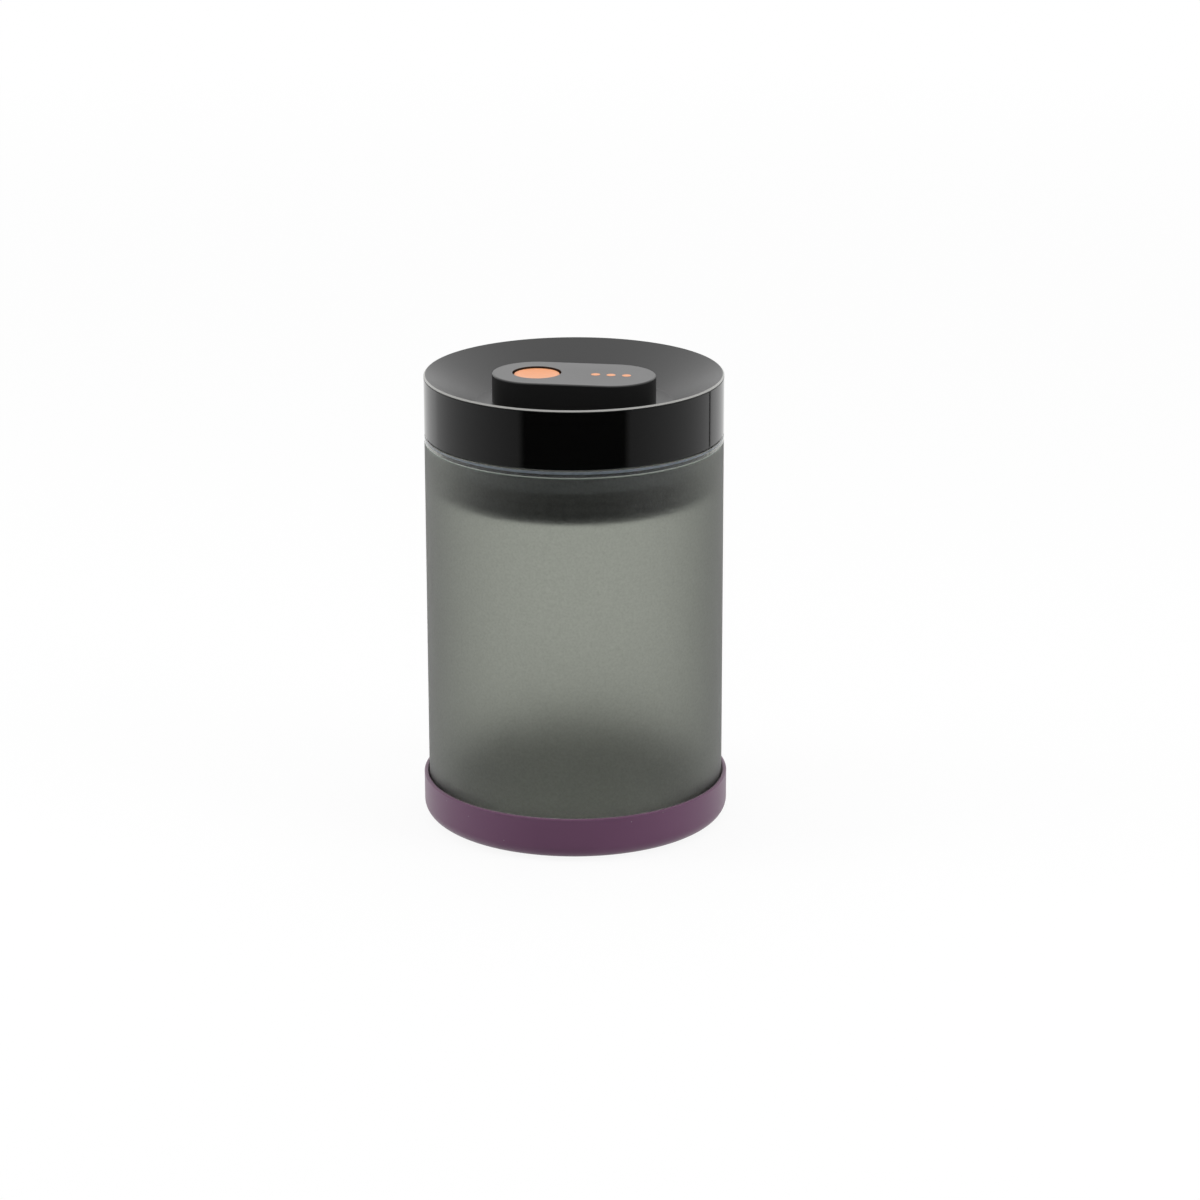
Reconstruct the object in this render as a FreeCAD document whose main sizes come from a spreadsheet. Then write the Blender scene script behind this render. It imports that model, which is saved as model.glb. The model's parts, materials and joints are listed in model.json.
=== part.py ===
import FreeCAD, Part
import math
import os
import re
import Sketcher

# Electric vacuum canister: a glass jar in a silicone boot, closed by a lid whose plug holds a
# small diaphragm pump, its motor, a rechargeable cell and a release valve.
# Millimetres, +Z up. The origin is on the ground, on the jar's axis. The grip on the lid lies along X.

# Driving dimensions, one spreadsheet cell each
SIZES = {
    # fits shared by all pieces
    "fit_gap": 0.3,
    "join_gap": 0.1,
    "run_gap": 0.05,
    "overrun": 1.0,
    # silicone boot under the jar
    "boot_wall": 1.4,
    "boot_floor": 2.4,
    "boot_height": 15.2,
    "boot_flange": 8.8,
    "boot_edge_radius": 4.5,
    "boot_rim_radius": 0.4,
    "foot_height": 0.8,
    "foot_length": 11.0,
    "foot_width": 2.6,
    # glass jar
    "jar_radius": 50.0,
    "jar_wall": 3.2,
    "jar_height": 130.6,
    "jar_floor": 5.0,
    "jar_heel_radius": 4.0,
    "jar_corner_radius": 5.0,
    "lip_radius": 0.5,
    "stand_ring": 8.0,
    "punt_depth": 1.0,
    # glossy skirt of the lid
    "skirt_height": 20.0,
    "skirt_wall": 2.6,
    "skirt_edge_radius": 0.4,
    "ledge_drop": 7.0,
    "ledge_height": 1.6,
    "ledge_depth": 1.8,
    # satin dish with the grip that stands in it
    "dish_depth": 10.0,
    "dish_floor_radius": 33.0,
    "dish_edge": 0.5,
    "dish_rim_radius": 0.3,
    "dish_wall": 2.0,
    "lap_height": 0.8,
    "grip_length": 55.0,
    "grip_width": 30.0,
    "grip_drop": 0.4,
    "grip_edge_radius": 0.6,
    # plug that reaches into the jar
    "plug_depth": 19.7,
    "plug_gap": 2.4,
    "plug_wall": 2.2,
    "plug_floor": 2.2,
    "plug_edge_radius": 0.8,
    "flange_height": 2.0,
    # lip seal in the plug's groove
    "seal_height": 9.2,
    "seal_lift": 1.4,
    "seal_depth": 1.8,
    "seal_lip_root": 2.0,
    "seal_lip_tip": 0.9,
    "seal_lip_rise": 0.8,
    # screw posts that hold dish and plug together
    "post_gap": 0.9,
    "post_radius": 4.0,
    "post_height": 10.5,
    "screw_radius": 1.2,
    "screw_length": 13.0,
    "screw_head_radius": 2.4,
    "screw_head_height": 1.5,
    "screw_plug_height": 1.6,
    "pilot_spare": 1.0,
    # circuit board under the dish
    "board_half_length": 27.0,
    "board_half_width": 13.5,
    "board_thickness": 1.6,
    "tongue_half_width": 9.0,
    "tongue_spare": 1.8,
    "standoff_height": 1.5,
    "standoff_radius": 2.0,
    "standoff_inset": 2.6,
    "board_screw_radius": 0.9,
    "board_screw_head_radius": 1.8,
    "board_screw_head_height": 1.1,
    "board_screw_bite": 1.5,
    "chip_side": 8.0,
    "chip_height": 1.0,
    # charging socket at the back of the board
    "socket_width": 8.9,
    "socket_height": 3.2,
    "socket_depth": 7.3,
    "socket_wall": 0.3,
    "socket_tongue_width": 6.7,
    "socket_tongue_height": 0.7,
    "socket_tongue_length": 4.4,
    "window_gap": 0.6,
    # power button, its seal and its switch
    "button_radius": 7.7,
    "button_gap": 0.5,
    "button_recess": 0.5,
    "button_land": 0.9,
    "button_dip": 0.5,
    "button_flange": 1.3,
    "button_flange_height": 1.2,
    "button_stem_radius": 1.75,
    "button_travel": 0.8,
    "membrane_wall": 1.2,
    "membrane_floor": 0.6,
    "switch_side": 6.0,
    "switch_height": 3.5,
    "switch_bore_depth": 2.2,
    # rechargeable cell and its saddles
    "cell_radius": 7.1,
    "cell_length": 48.5,
    "cell_nub_radius": 2.8,
    "cell_nub_length": 0.8,
    "cell_lift": 0.6,
    "saddle_thickness": 2.0,
    "saddle_height": 5.0,
    "saddle_reach": 16.0,
    # pump motor and the fingers that hold it
    "motor_radius": 10.05,
    "motor_half_height": 7.7,
    "motor_length": 22.6,
    "motor_cap_length": 2.4,
    "motor_rear": 28.9,
    "motor_cap_inset": 0.5,
    "motor_boss_radius": 3.0,
    "motor_boss_length": 1.6,
    "terminal_thickness": 0.5,
    "terminal_width": 2.4,
    "terminal_length": 2.2,
    "terminal_reach": 4.5,
    "shaft_radius": 1.0,
    "shaft_seat": 5.0,
    "pad_height": 0.8,
    "pad_half_width": 7.0,
    "finger_thickness": 2.0,
    "finger_width": 1.5,
    "finger_height": 10.0,
    "finger_inset": 5.0,
    # diaphragm pump
    "pump_y": -16.0,
    "case_half": 9.8,
    "case_wall": 2.0,
    "case_bore_radius": 5.4,
    "case_mouth_radius": 6.0,
    "crank_throw": 1.0,
    "crank_pin_radius": 1.6,
    "crank_hub_radius": 4.4,
    "rod_ring": 1.6,
    "rod_thickness": 4.0,
    "rod_height": 5.0,
    "rod_neck": 3.0,
    "rod_plate_radius": 3.6,
    "rod_plate_height": 1.0,
    "clamp_radius": 3.2,
    "clamp_height": 0.8,
    "clamp_pin_radius": 1.0,
    "diaphragm_inset": 0.6,
    "diaphragm_height": 1.2,
    "valve_plate_height": 2.1,
    "chamber_radius": 6.4,
    "chamber_depth": 1.5,
    "flap_radius": 2.0,
    "flap_height": 0.3,
    "flap_reach": 3.2,
    "valve_hole_radius": 0.9,
    "head_height": 3.0,
    "head_pocket_radius": 2.6,
    "head_pocket_depth": 1.9,
    "nozzle_radius": 1.5,
    "nozzle_bore_radius": 0.8,
    "nozzle_length": 3.0,
    "exhaust_length": 1.6,
    "pump_screw_inset": 1.9,
    "pump_screw_radius": 0.8,
    "pump_screw_head_radius": 1.5,
    "pump_screw_head_height": 1.0,
    "pump_screw_bite": 4.0,
    # intake hose from the pump's head to the plug's floor
    "hose_wall": 0.8,
    "hose_bend": 5.0,
    "spigot_height": 5.0,
    "hose_room": 0.6,
    # filter under the plug
    "filter_radius": 11.8,
    "filter_height": 0.9,
    "cap_height": 1.2,
    "cap_ring": 0.9,
    "cap_rim": 1.2,
    "cap_hole_radius": 0.9,
    "cap_inner_ring": 4.4,
    "cap_outer_ring": 8.6,
    # release valve that lets the air back in
    "release_half_width": 6.5,
    "release_half_depth": 5.5,
    "release_plate": 1.0,
    "release_height": 13.0,
    "release_room": 1.2,
    "coil_radius": 5.0,
    "bobbin_flange": 0.4,
    "bobbin_flange_height": 0.8,
    "plunger_radius": 2.0,
    "plunger_length": 7.6,
    "tip_height": 0.8,
    "vent_radius": 0.9,
    "seat_radius": 1.7,
    "seat_height": 0.6,
    "spring_radius": 1.4,
    "spring_wire_radius": 0.15,
}

# How many of each repeated feature, also kept in the spreadsheet
COUNTS = {
    "foot_count": 5,
    "seal_lip_count": 3,
    "post_count": 3,
    "cap_inner_holes": 6,
    "cap_outer_holes": 12,
    "spring_turns": 3,
}

# Heights, radii and places that follow from the driving dimensions
DERIVED = {
    "boot_inner": "jar_radius + fit_gap",
    "boot_outer": "boot_inner + boot_wall",
    "boot_hole_radius": "boot_inner - boot_flange",
    "boot_floor_top": "foot_height + boot_floor",
    "foot_ring": "(boot_hole_radius + boot_outer - boot_edge_radius) / 2",
    "jar_bottom": "boot_floor_top + fit_gap",
    "jar_inner": "jar_radius - jar_wall",
    "punt_radius": "jar_radius - jar_heel_radius - stand_ring",
    "jar_floor_top": "jar_bottom + jar_floor",
    "jar_top": "jar_bottom + jar_height",
    "skirt_bottom": "jar_top + fit_gap",
    "skirt_inner": "jar_radius - skirt_wall",
    "rim_top": "skirt_bottom + skirt_height",
    "ledge_top": "rim_top - ledge_drop",
    "ledge_bottom": "ledge_top - ledge_height",
    "ledge_inner": "skirt_inner - ledge_depth",
    "inset_radius": "skirt_inner - join_gap",
    "dish_top": "rim_top - dish_depth",
    "dish_under": "dish_top - dish_wall",
    "dish_mouth": "jar_radius - dish_edge",
    "dish_slope": "dish_depth / (dish_mouth - dish_floor_radius)",
    "lap_outer": "rim_top - lap_height",
    "lap_inner": "lap_outer - (jar_radius - inset_radius) * dish_slope",
    "skirt_top": "lap_outer - join_gap",
    "skirt_top_inner": "skirt_top - skirt_wall * dish_slope",
    "cone_under": "dish_under + (ledge_inner - dish_floor_radius) * dish_slope",
    "grip_reach": "(grip_length - grip_width) / 2",
    "grip_top": "rim_top - grip_drop",
    "grip_under": "grip_top - dish_wall",
    "plug_radius": "jar_inner - plug_gap",
    "plug_bottom": "skirt_bottom - plug_depth",
    "plug_floor_top": "plug_bottom + plug_floor",
    "groove_radius": "plug_radius - seal_depth",
    "groove_bottom": "plug_bottom + seal_lift",
    "groove_top": "groove_bottom + seal_height",
    "plug_inner": "groove_radius - plug_wall",
    "flange_top": "skirt_bottom + flange_height",
    "collar_inner": "inset_radius - plug_wall",
    "collar_top": "ledge_bottom - join_gap",
    "post_ring": "plug_inner - post_radius - post_gap",
    "post_top": "plug_floor_top + post_height",
    "boss_bottom": "post_top + join_gap",
    "screw_seat": "plug_bottom + screw_plug_height + screw_head_height + 2 * join_gap",
    "screw_bite": "screw_seat + screw_length - boss_bottom",
    "board_top": "dish_under - standoff_height",
    "board_bottom": "board_top - board_thickness",
    "tongue_end": "collar_inner - tongue_spare",
    "standoff_x": "board_half_length - standoff_inset",
    "standoff_y": "board_half_width - standoff_inset",
    "socket_middle": "board_top + socket_height / 2 + run_gap",
    "socket_mouth": "inset_radius - join_gap",
    "socket_half_run": "(socket_width - socket_height) / 2",
    "chip_y": "(board_half_width + tongue_end) / 2 - chip_side / 2",
    "button_hole_radius": "button_radius + button_gap",
    "button_top": "grip_top - button_recess",
    "button_flange_radius": "button_hole_radius + button_flange",
    "button_flange_top": "grip_under - run_gap",
    "button_flange_bottom": "button_flange_top - button_flange_height",
    "button_dip_half_width": "button_radius - button_land",
    "button_dip_sphere": "(button_dip_half_width ^ 2 + button_dip ^ 2) / (2 * button_dip)",
    "switch_top": "board_top + run_gap + switch_height",
    "switch_floor": "switch_top - switch_bore_depth",
    "stem_bottom": "(switch_top + button_flange_bottom) / 2",
    "plunger_foot": "switch_floor + button_travel + fit_gap",
    "membrane_inner": "button_flange_radius + fit_gap",
    "membrane_top": "grip_under - run_gap",
    "membrane_floor_top": "button_flange_bottom - run_gap",
    "shaft_height": "plug_floor_top + pad_height + join_gap + motor_half_height",
    "case_front": "motor_length + motor_cap_length + 2 * run_gap - motor_rear",
    "pump_x": "case_front + case_half",
    "case_bottom": "shaft_height - motor_half_height",
    "case_top": "shaft_height + crank_throw + rod_height + run_gap",
    "crank_pin_height": "shaft_height + crank_throw",
    "rod_back": "pump_x - rod_thickness / 2",
    "hub_back": "case_front + case_wall + fit_gap",
    "hub_front": "pump_x - rod_plate_radius - fit_gap",
    "rod_bore_radius": "crank_pin_radius + run_gap",
    "diaphragm_radius": "case_half - diaphragm_inset",
    "diaphragm_top": "case_top + run_gap + diaphragm_height",
    "pump_screw_reach": "case_half - pump_screw_inset",
    "valve_plate_bottom": "diaphragm_top + run_gap",
    "valve_plate_top": "valve_plate_bottom + valve_plate_height",
    "head_bottom": "valve_plate_top + run_gap",
    "head_top": "head_bottom + head_height",
    "nozzle_height": "head_bottom + head_height / 2",
    "hose_inner": "nozzle_radius + run_gap",
    "hose_outer": "hose_inner + hose_wall",
    "intake_y": "pump_y + case_half + nozzle_length + hose_bend",
    "cell_y": "intake_y + hose_outer + hose_room + cell_radius",
    "cell_height": "plug_floor_top + cell_lift + cell_radius",
    "release_y": "cell_y + cell_radius + release_room + release_half_depth",
    "release_bottom": "plug_floor_top + run_gap",
    "release_top": "release_bottom + release_height",
    "seat_top": "plug_floor_top + seat_height",
    "tip_bottom": "seat_top + run_gap",
    "plunger_bottom": "tip_bottom + tip_height",
    "plunger_top": "plunger_bottom + plunger_length",
    "cap_ring_radius": "filter_radius + join_gap + cap_ring",
    "filter_recess_radius": "cap_ring_radius + join_gap",
    "filter_recess_depth": "filter_height + 2 * run_gap",
    "cap_radius": "cap_ring_radius + cap_rim",
}

doc = FreeCAD.newDocument("vacuum_canister")
sheet = doc.addObject("Spreadsheet::Sheet", "sizes")
CELLS = {**SIZES, **COUNTS}
for row, (alias, number) in enumerate(CELLS.items(), start=1):
    sheet.set("A%d" % row, alias.replace("_", " "))
    sheet.set("B%d" % row, str(number))
    sheet.setAlias("B%d" % row, alias)
doc.recompute()

SUB_PARTS = []


# Formulas on the spreadsheet

def formula(text):
    """Write a length given in named sizes as an expression on the spreadsheet's cells."""
    def cell(match):
        word = match.group()
        if word in DERIVED:
            return "(" + formula(DERIVED[word]) + ")"
        return "sizes." + word if word in CELLS else word
    return re.sub(r"[a-z]\w*", cell, text)


def length(text):
    """The present value of a formula, for a shape that is set in code or a sketch's first guess."""
    return float(sheet.evalExpression(formula(text)))


def bind(thing, field, text):
    """Tie one property of an object to a formula."""
    thing.setExpression(field, formula(text))


# Bodies, sketches and features

def new_body(label, place=("0", "0", "0"), along_x=False):
    """Start a sub-part. Its own frame stands at the place given, or lies with its axis along X."""
    body = doc.addObject("PartDesign::Body", label)
    body.Label = label
    if along_x:
        body.Placement = FreeCAD.Placement(FreeCAD.Vector(), FreeCAD.Rotation(FreeCAD.Vector(0, 1, 0), 90))
    for axis, text in zip("xyz", place):
        if text != "0":
            bind(body, "Placement.Base." + axis, text)
    SUB_PARTS.append(body)
    return body


def origin_feature(body, role):
    return next(feature for feature in body.Origin.OriginFeatures if feature.Role == role)


def new_sketch(body, name, plane="XY_Plane", offset="0"):
    """A sketch on one of the body's planes. XZ faces -Y, so its offset counts towards -Y."""
    sketch = body.newObject("Sketcher::SketchObject", body.Label + "_" + name)
    sketch.AttachmentSupport = [(origin_feature(body, plane), "")]
    sketch.MapMode = "FlatFace"
    if offset != "0":
        bind(sketch, "AttachmentOffset.Base.z", offset)
    return sketch


def pin_point(sketch, geometry, vertex, place):
    """Fix one point of a sketch at a place given by two formulas."""
    for kind, text, axis in (("DistanceX", place[0], -2), ("DistanceY", place[1], -1)):
        if text == "0":
            sketch.addConstraint(Sketcher.Constraint("PointOnObject", geometry, vertex, axis))
        else:
            index = sketch.addConstraint(
                Sketcher.Constraint(kind, -1, 1, geometry, vertex, length(text)))
            bind(sketch, "Constraints[%d]" % index, text)


def set_radius(sketch, geometry, text):
    index = sketch.addConstraint(Sketcher.Constraint("Radius", geometry, length(text)))
    bind(sketch, "Constraints[%d]" % index, text)


def point(place):
    return FreeCAD.Vector(length(place[0]), length(place[1]), 0)


def add_polygon(sketch, corners):
    """A closed outline of straight lines through corners given by formulas."""
    points = [point(corner) for corner in corners]
    ends = points[1:] + points[:1]
    lines = [sketch.addGeometry(Part.LineSegment(start, end)) for start, end in zip(points, ends)]
    for line, following in zip(lines, lines[1:] + lines[:1]):
        sketch.addConstraint(Sketcher.Constraint("Coincident", line, 2, following, 1))
    for line, corner in zip(lines, corners):
        pin_point(sketch, line, 1, corner)


def add_rectangle(sketch, low, high):
    add_polygon(sketch, [low, (high[0], low[1]), high, (low[0], high[1])])


def add_circle(sketch, centre, radius):
    circle = Part.Circle(point(centre), FreeCAD.Vector(0, 0, 1), length(radius))
    geometry = sketch.addGeometry(circle)
    pin_point(sketch, geometry, 3, centre)
    set_radius(sketch, geometry, radius)


def add_slot(sketch, left, right, radius):
    """A round-ended slot between two centres at the same height."""
    size = length(radius)
    up = FreeCAD.Vector(0, size, 0)
    upright = FreeCAD.Vector(0, 0, 1)
    first = Part.Circle(point(left), upright, size)
    last = Part.Circle(point(right), upright, size)
    quarter = math.pi / 2
    left_arc = sketch.addGeometry(Part.ArcOfCircle(first, quarter, 3 * quarter))
    right_arc = sketch.addGeometry(Part.ArcOfCircle(last, -quarter, quarter))
    upper = sketch.addGeometry(Part.LineSegment(point(left) + up, point(right) + up))
    lower = sketch.addGeometry(Part.LineSegment(point(left) - up, point(right) - up))
    for arc, arc_end, line, line_end in (
            (left_arc, 1, upper, 1), (left_arc, 2, lower, 1),
            (right_arc, 1, lower, 2), (right_arc, 2, upper, 2)):
        sketch.addConstraint(Sketcher.Constraint("Tangent", arc, arc_end, line, line_end))
    pin_point(sketch, left_arc, 3, left)
    pin_point(sketch, right_arc, 3, right)
    set_radius(sketch, left_arc, radius)
    sketch.addConstraint(Sketcher.Constraint("Equal", left_arc, right_arc))


def pad(body, sketch, depth, flip=False):
    feature = body.newObject("PartDesign::Pad", sketch.Name + "_pad")
    feature.Profile = sketch
    feature.Reversed = flip
    bind(feature, "Length", depth)
    return feature


def check_cut(feature):
    """Stop if a cut took nothing away."""
    doc.recompute()
    if feature.Shape.Volume >= feature.BaseFeature.Shape.Volume:
        raise RuntimeError(feature.Name + " cuts nothing")
    return feature


def pocket(body, sketch, depth, flip=False):
    doc.recompute()
    feature = body.newObject("PartDesign::Pocket", sketch.Name + "_pocket")
    feature.Profile = sketch
    feature.Reversed = flip
    bind(feature, "Length", depth)
    return check_cut(feature)


def turn(body, sketch, kind="PartDesign::Revolution"):
    """Turn a sketch of radii and heights about the body's upright axis."""
    doc.recompute()
    feature = body.newObject(kind, sketch.Name + "_turn")
    feature.Profile = sketch
    feature.ReferenceAxis = (sketch, ["V_Axis"])
    feature.Angle = 360
    return check_cut(feature) if kind == "PartDesign::Groove" else feature


def turned_body(label, corners, place=("0", "0", "0"), along_x=False):
    body = new_body(label, place, along_x)
    sketch = new_sketch(body, "outline", "XZ_Plane")
    add_polygon(sketch, corners)
    turn(body, sketch)
    return body


def repeat_round(body, features, count):
    """Repeat features evenly round the body's upright axis."""
    doc.recompute()
    pattern = body.newObject("PartDesign::PolarPattern", features[-1].Name + "_ring")
    pattern.Originals = features
    pattern.Axis = (origin_feature(body, "Z_Axis"), [""])
    pattern.Angle = 360
    bind(pattern, "Occurrences", count)
    body.Tip = pattern
    doc.recompute()
    return pattern


def round_edges(body, name, radius, chosen):
    """Round the edges of the body so far that the test given picks out."""
    doc.recompute()
    base = body.Tip
    names = ["Edge%d" % number for number, edge in enumerate(base.Shape.Edges, start=1) if chosen(edge)]
    if not names:
        raise RuntimeError(body.Label + " has no edge for " + name)
    feature = body.newObject("PartDesign::Fillet", body.Label + "_" + name)
    feature.Base = (base, names)
    bind(feature, "Radius", radius)
    return feature


def ring_edge(*rings):
    """A test for full circles at the given radii and heights."""
    near = length("run_gap") / 10
    places = [(length(radius), length(height)) for radius, height in rings]

    def chosen(edge):
        if not isinstance(edge.Curve, Part.Circle):
            return False
        return any(abs(edge.Curve.Radius - radius) < near and abs(edge.Curve.Center.z - height) < near
                   for radius, height in places)
    return chosen


def corner_places(x, y):
    return [(sign_x + x, sign_y + y) for sign_x in ("", "-") for sign_y in ("", "-")]


# Jar and boot

def make_glass_jar():
    jar = turned_body("glass_jar", [
        ("0", "jar_bottom + punt_depth"),
        ("punt_radius - punt_depth", "jar_bottom + punt_depth"),
        ("punt_radius", "jar_bottom"),
        ("jar_radius", "jar_bottom"),
        ("jar_radius", "jar_top"),
        ("jar_inner", "jar_top"),
        ("jar_inner", "jar_floor_top"),
        ("0", "jar_floor_top"),
    ])
    round_edges(jar, "heel", "jar_heel_radius", ring_edge(("jar_radius", "jar_bottom")))
    round_edges(jar, "corner", "jar_corner_radius", ring_edge(("jar_inner", "jar_floor_top")))
    round_edges(jar, "lip", "lip_radius", ring_edge(("jar_radius", "jar_top"), ("jar_inner", "jar_top")))


def make_base_boot():
    boot = turned_body("base_boot", [
        ("boot_hole_radius", "foot_height"),
        ("boot_outer", "foot_height"),
        ("boot_outer", "boot_height"),
        ("boot_inner", "boot_height"),
        ("boot_inner", "boot_floor_top"),
        ("boot_hole_radius", "boot_floor_top"),
    ])
    round_edges(boot, "edge", "boot_edge_radius", ring_edge(("boot_outer", "foot_height")))
    round_edges(boot, "corner", "jar_heel_radius", ring_edge(("boot_inner", "boot_floor_top")))
    round_edges(boot, "rim", "boot_rim_radius", ring_edge(
        ("boot_outer", "boot_height"), ("boot_inner", "boot_height"),
        ("boot_hole_radius", "foot_height"), ("boot_hole_radius", "boot_floor_top")))
    foot = new_sketch(boot, "foot")
    add_slot(foot, ("-(foot_length - foot_width) / 2", "foot_ring"),
             ("(foot_length - foot_width) / 2", "foot_ring"), "foot_width / 2")
    repeat_round(boot, [pad(boot, foot, "foot_height + boot_floor / 2")], "foot_count")


# Lid housing

def cut_socket_window(body, outer, wall):
    """The opening for a charging plug through one wall at the back."""
    window = new_sketch(body, "window", "XZ_Plane", "-(" + outer + " + overrun)")
    add_slot(window, ("-socket_half_run", "socket_middle"), ("socket_half_run", "socket_middle"),
             "socket_height / 2 + window_gap")
    pocket(body, window, wall + " + 2 * overrun", flip=True)


def make_lid_skirt():
    skirt = turned_body("lid_skirt", [
        ("jar_radius", "skirt_bottom"),
        ("jar_radius", "skirt_top"),
        ("skirt_inner", "skirt_top_inner"),
        ("skirt_inner", "ledge_top"),
        ("ledge_inner", "ledge_top"),
        ("ledge_inner", "ledge_bottom"),
        ("skirt_inner", "ledge_bottom"),
        ("skirt_inner", "skirt_bottom"),
    ])
    round_edges(skirt, "edge", "skirt_edge_radius", ring_edge(("jar_radius", "skirt_bottom")))
    cut_socket_window(skirt, "jar_radius", "skirt_wall")


def make_lid_dish():
    """One moulding: a block that laps the skirt, its bosses, the dish sunk in it, then the hollow grip."""
    dish = turned_body("lid_dish", [
        ("0", "dish_under"),
        ("dish_floor_radius", "dish_under"),
        ("ledge_inner", "cone_under"),
        ("ledge_inner", "ledge_top + join_gap"),
        ("inset_radius", "ledge_top + join_gap"),
        ("inset_radius", "lap_inner"),
        ("jar_radius", "lap_outer"),
        ("jar_radius", "rim_top"),
        ("0", "rim_top"),
    ])
    round_edges(dish, "rim_edge", "dish_rim_radius", ring_edge(("jar_radius", "rim_top")))
    boss = new_sketch(dish, "boss", offset="boss_bottom")
    add_circle(boss, ("0", "-post_ring"), "post_radius")
    boss_pad = pad(dish, boss, "dish_top + dish_depth / 2 - boss_bottom")
    pilot = new_sketch(dish, "pilot", offset="boss_bottom")
    add_circle(pilot, ("0", "-post_ring"), "screw_radius + run_gap")
    pilot_pocket = pocket(dish, pilot, "screw_bite + pilot_spare", flip=True)
    repeat_round(dish, [boss_pad, pilot_pocket], "post_count")
    sunk = new_sketch(dish, "sunk", "XZ_Plane")
    add_polygon(sunk, [
        ("0", "dish_top"), ("dish_floor_radius", "dish_top"), ("dish_mouth", "rim_top"),
        ("dish_mouth", "rim_top + overrun"), ("0", "rim_top + overrun"),
    ])
    turn(dish, sunk, "PartDesign::Groove")
    standoff = new_sketch(dish, "standoff", offset="board_top + run_gap")
    for place in corner_places("standoff_x", "standoff_y"):
        add_circle(standoff, place, "standoff_radius")
    pad(dish, standoff, "standoff_height - run_gap + dish_wall / 2")
    bite = new_sketch(dish, "bite", offset="board_top")
    for place in corner_places("standoff_x", "standoff_y"):
        add_circle(bite, place, "board_screw_radius + run_gap")
    pocket(dish, bite, "board_screw_bite + join_gap", flip=True)
    grip = new_sketch(dish, "grip", offset="dish_under")
    add_slot(grip, ("-grip_reach", "0"), ("grip_reach", "0"), "grip_width / 2")
    pad(dish, grip, "grip_top - dish_under")
    hollow = new_sketch(dish, "hollow", offset="dish_under")
    add_slot(hollow, ("-grip_reach", "0"), ("grip_reach", "0"), "grip_width / 2 - dish_wall")
    pocket(dish, hollow, "grip_under - dish_under", flip=True)
    hole = new_sketch(dish, "button_hole", offset="grip_top")
    add_circle(hole, ("-grip_reach", "0"), "button_hole_radius")
    pocket(dish, hole, "dish_wall + overrun")
    top = length("grip_top")
    near = length("run_gap") / 10
    hole_radius = length("button_hole_radius")

    def grip_edge(edge):
        box = edge.BoundBox
        is_hole = isinstance(edge.Curve, Part.Circle) and abs(edge.Curve.Radius - hole_radius) < near
        return abs(box.ZMin - top) < near and abs(box.ZMax - top) < near and not is_hole
    round_edges(dish, "grip_edge", "grip_edge_radius", grip_edge)


def make_plug_cup():
    cup = turned_body("plug_cup", [
        ("0", "plug_bottom"),
        ("plug_radius", "plug_bottom"),
        ("plug_radius", "groove_bottom"),
        ("groove_radius", "groove_bottom"),
        ("groove_radius", "groove_top"),
        ("plug_radius", "groove_top"),
        ("plug_radius", "skirt_bottom"),
        ("inset_radius", "skirt_bottom"),
        ("inset_radius", "collar_top"),
        ("collar_inner", "collar_top"),
        ("collar_inner", "flange_top"),
        ("plug_inner", "flange_top"),
        ("plug_inner", "plug_floor_top"),
        ("0", "plug_floor_top"),
    ])
    round_edges(cup, "edge", "plug_edge_radius", ring_edge(("plug_radius", "plug_bottom")))
    cut_socket_window(cup, "inset_radius", "plug_wall")
    add_screw_posts(cup)
    add_cell_saddles(cup)
    add_motor_fingers(cup)
    add_air_ports(cup)


def add_screw_posts(cup):
    post = new_sketch(cup, "post", offset="plug_bottom + plug_floor / 2")
    add_circle(post, ("0", "-post_ring"), "post_radius")
    post_pad = pad(cup, post, "post_top - plug_bottom - plug_floor / 2")
    counterbore = new_sketch(cup, "counterbore", offset="screw_seat")
    add_circle(counterbore, ("0", "-post_ring"), "screw_head_radius + 2 * join_gap")
    counterbore_pocket = pocket(cup, counterbore, "screw_seat - plug_bottom + overrun")
    passage = new_sketch(cup, "passage", offset="post_top")
    add_circle(passage, ("0", "-post_ring"), "screw_radius + join_gap")
    passage_pocket = pocket(cup, passage, "post_top - screw_seat + join_gap")
    repeat_round(cup, [post_pad, counterbore_pocket, passage_pocket], "post_count")


def add_cell_saddles(cup):
    saddle = new_sketch(cup, "saddle", offset="plug_bottom + plug_floor / 2")
    for low, high in (("-saddle_reach - saddle_thickness", "-saddle_reach"),
                      ("saddle_reach", "saddle_reach + saddle_thickness")):
        add_rectangle(saddle, (low, "cell_y - cell_radius"), (high, "cell_y + cell_radius"))
    pad(cup, saddle, "plug_floor / 2 + saddle_height")
    bed = new_sketch(cup, "bed", "YZ_Plane", "-saddle_reach - saddle_thickness - overrun")
    add_circle(bed, ("cell_y", "cell_height"), "cell_radius + join_gap")
    pocket(cup, bed, "2 * (saddle_reach + saddle_thickness + overrun)", flip=True)


def add_motor_fingers(cup):
    finger = new_sketch(cup, "finger", offset="plug_bottom + plug_floor / 2")
    near = "case_front - finger_inset"
    far = "case_front - motor_length + finger_inset"
    for x_low, x_high in ((near + " - finger_thickness", near), (far, far + " + finger_thickness")):
        add_rectangle(finger, (x_low, "pump_y + motor_radius + join_gap"),
                      (x_high, "pump_y + motor_radius + join_gap + finger_width"))
        add_rectangle(finger, (x_low, "pump_y - motor_radius - join_gap - finger_width"),
                      (x_high, "pump_y - motor_radius - join_gap"))
    pad(cup, finger, "plug_floor / 2 + finger_height")


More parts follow.
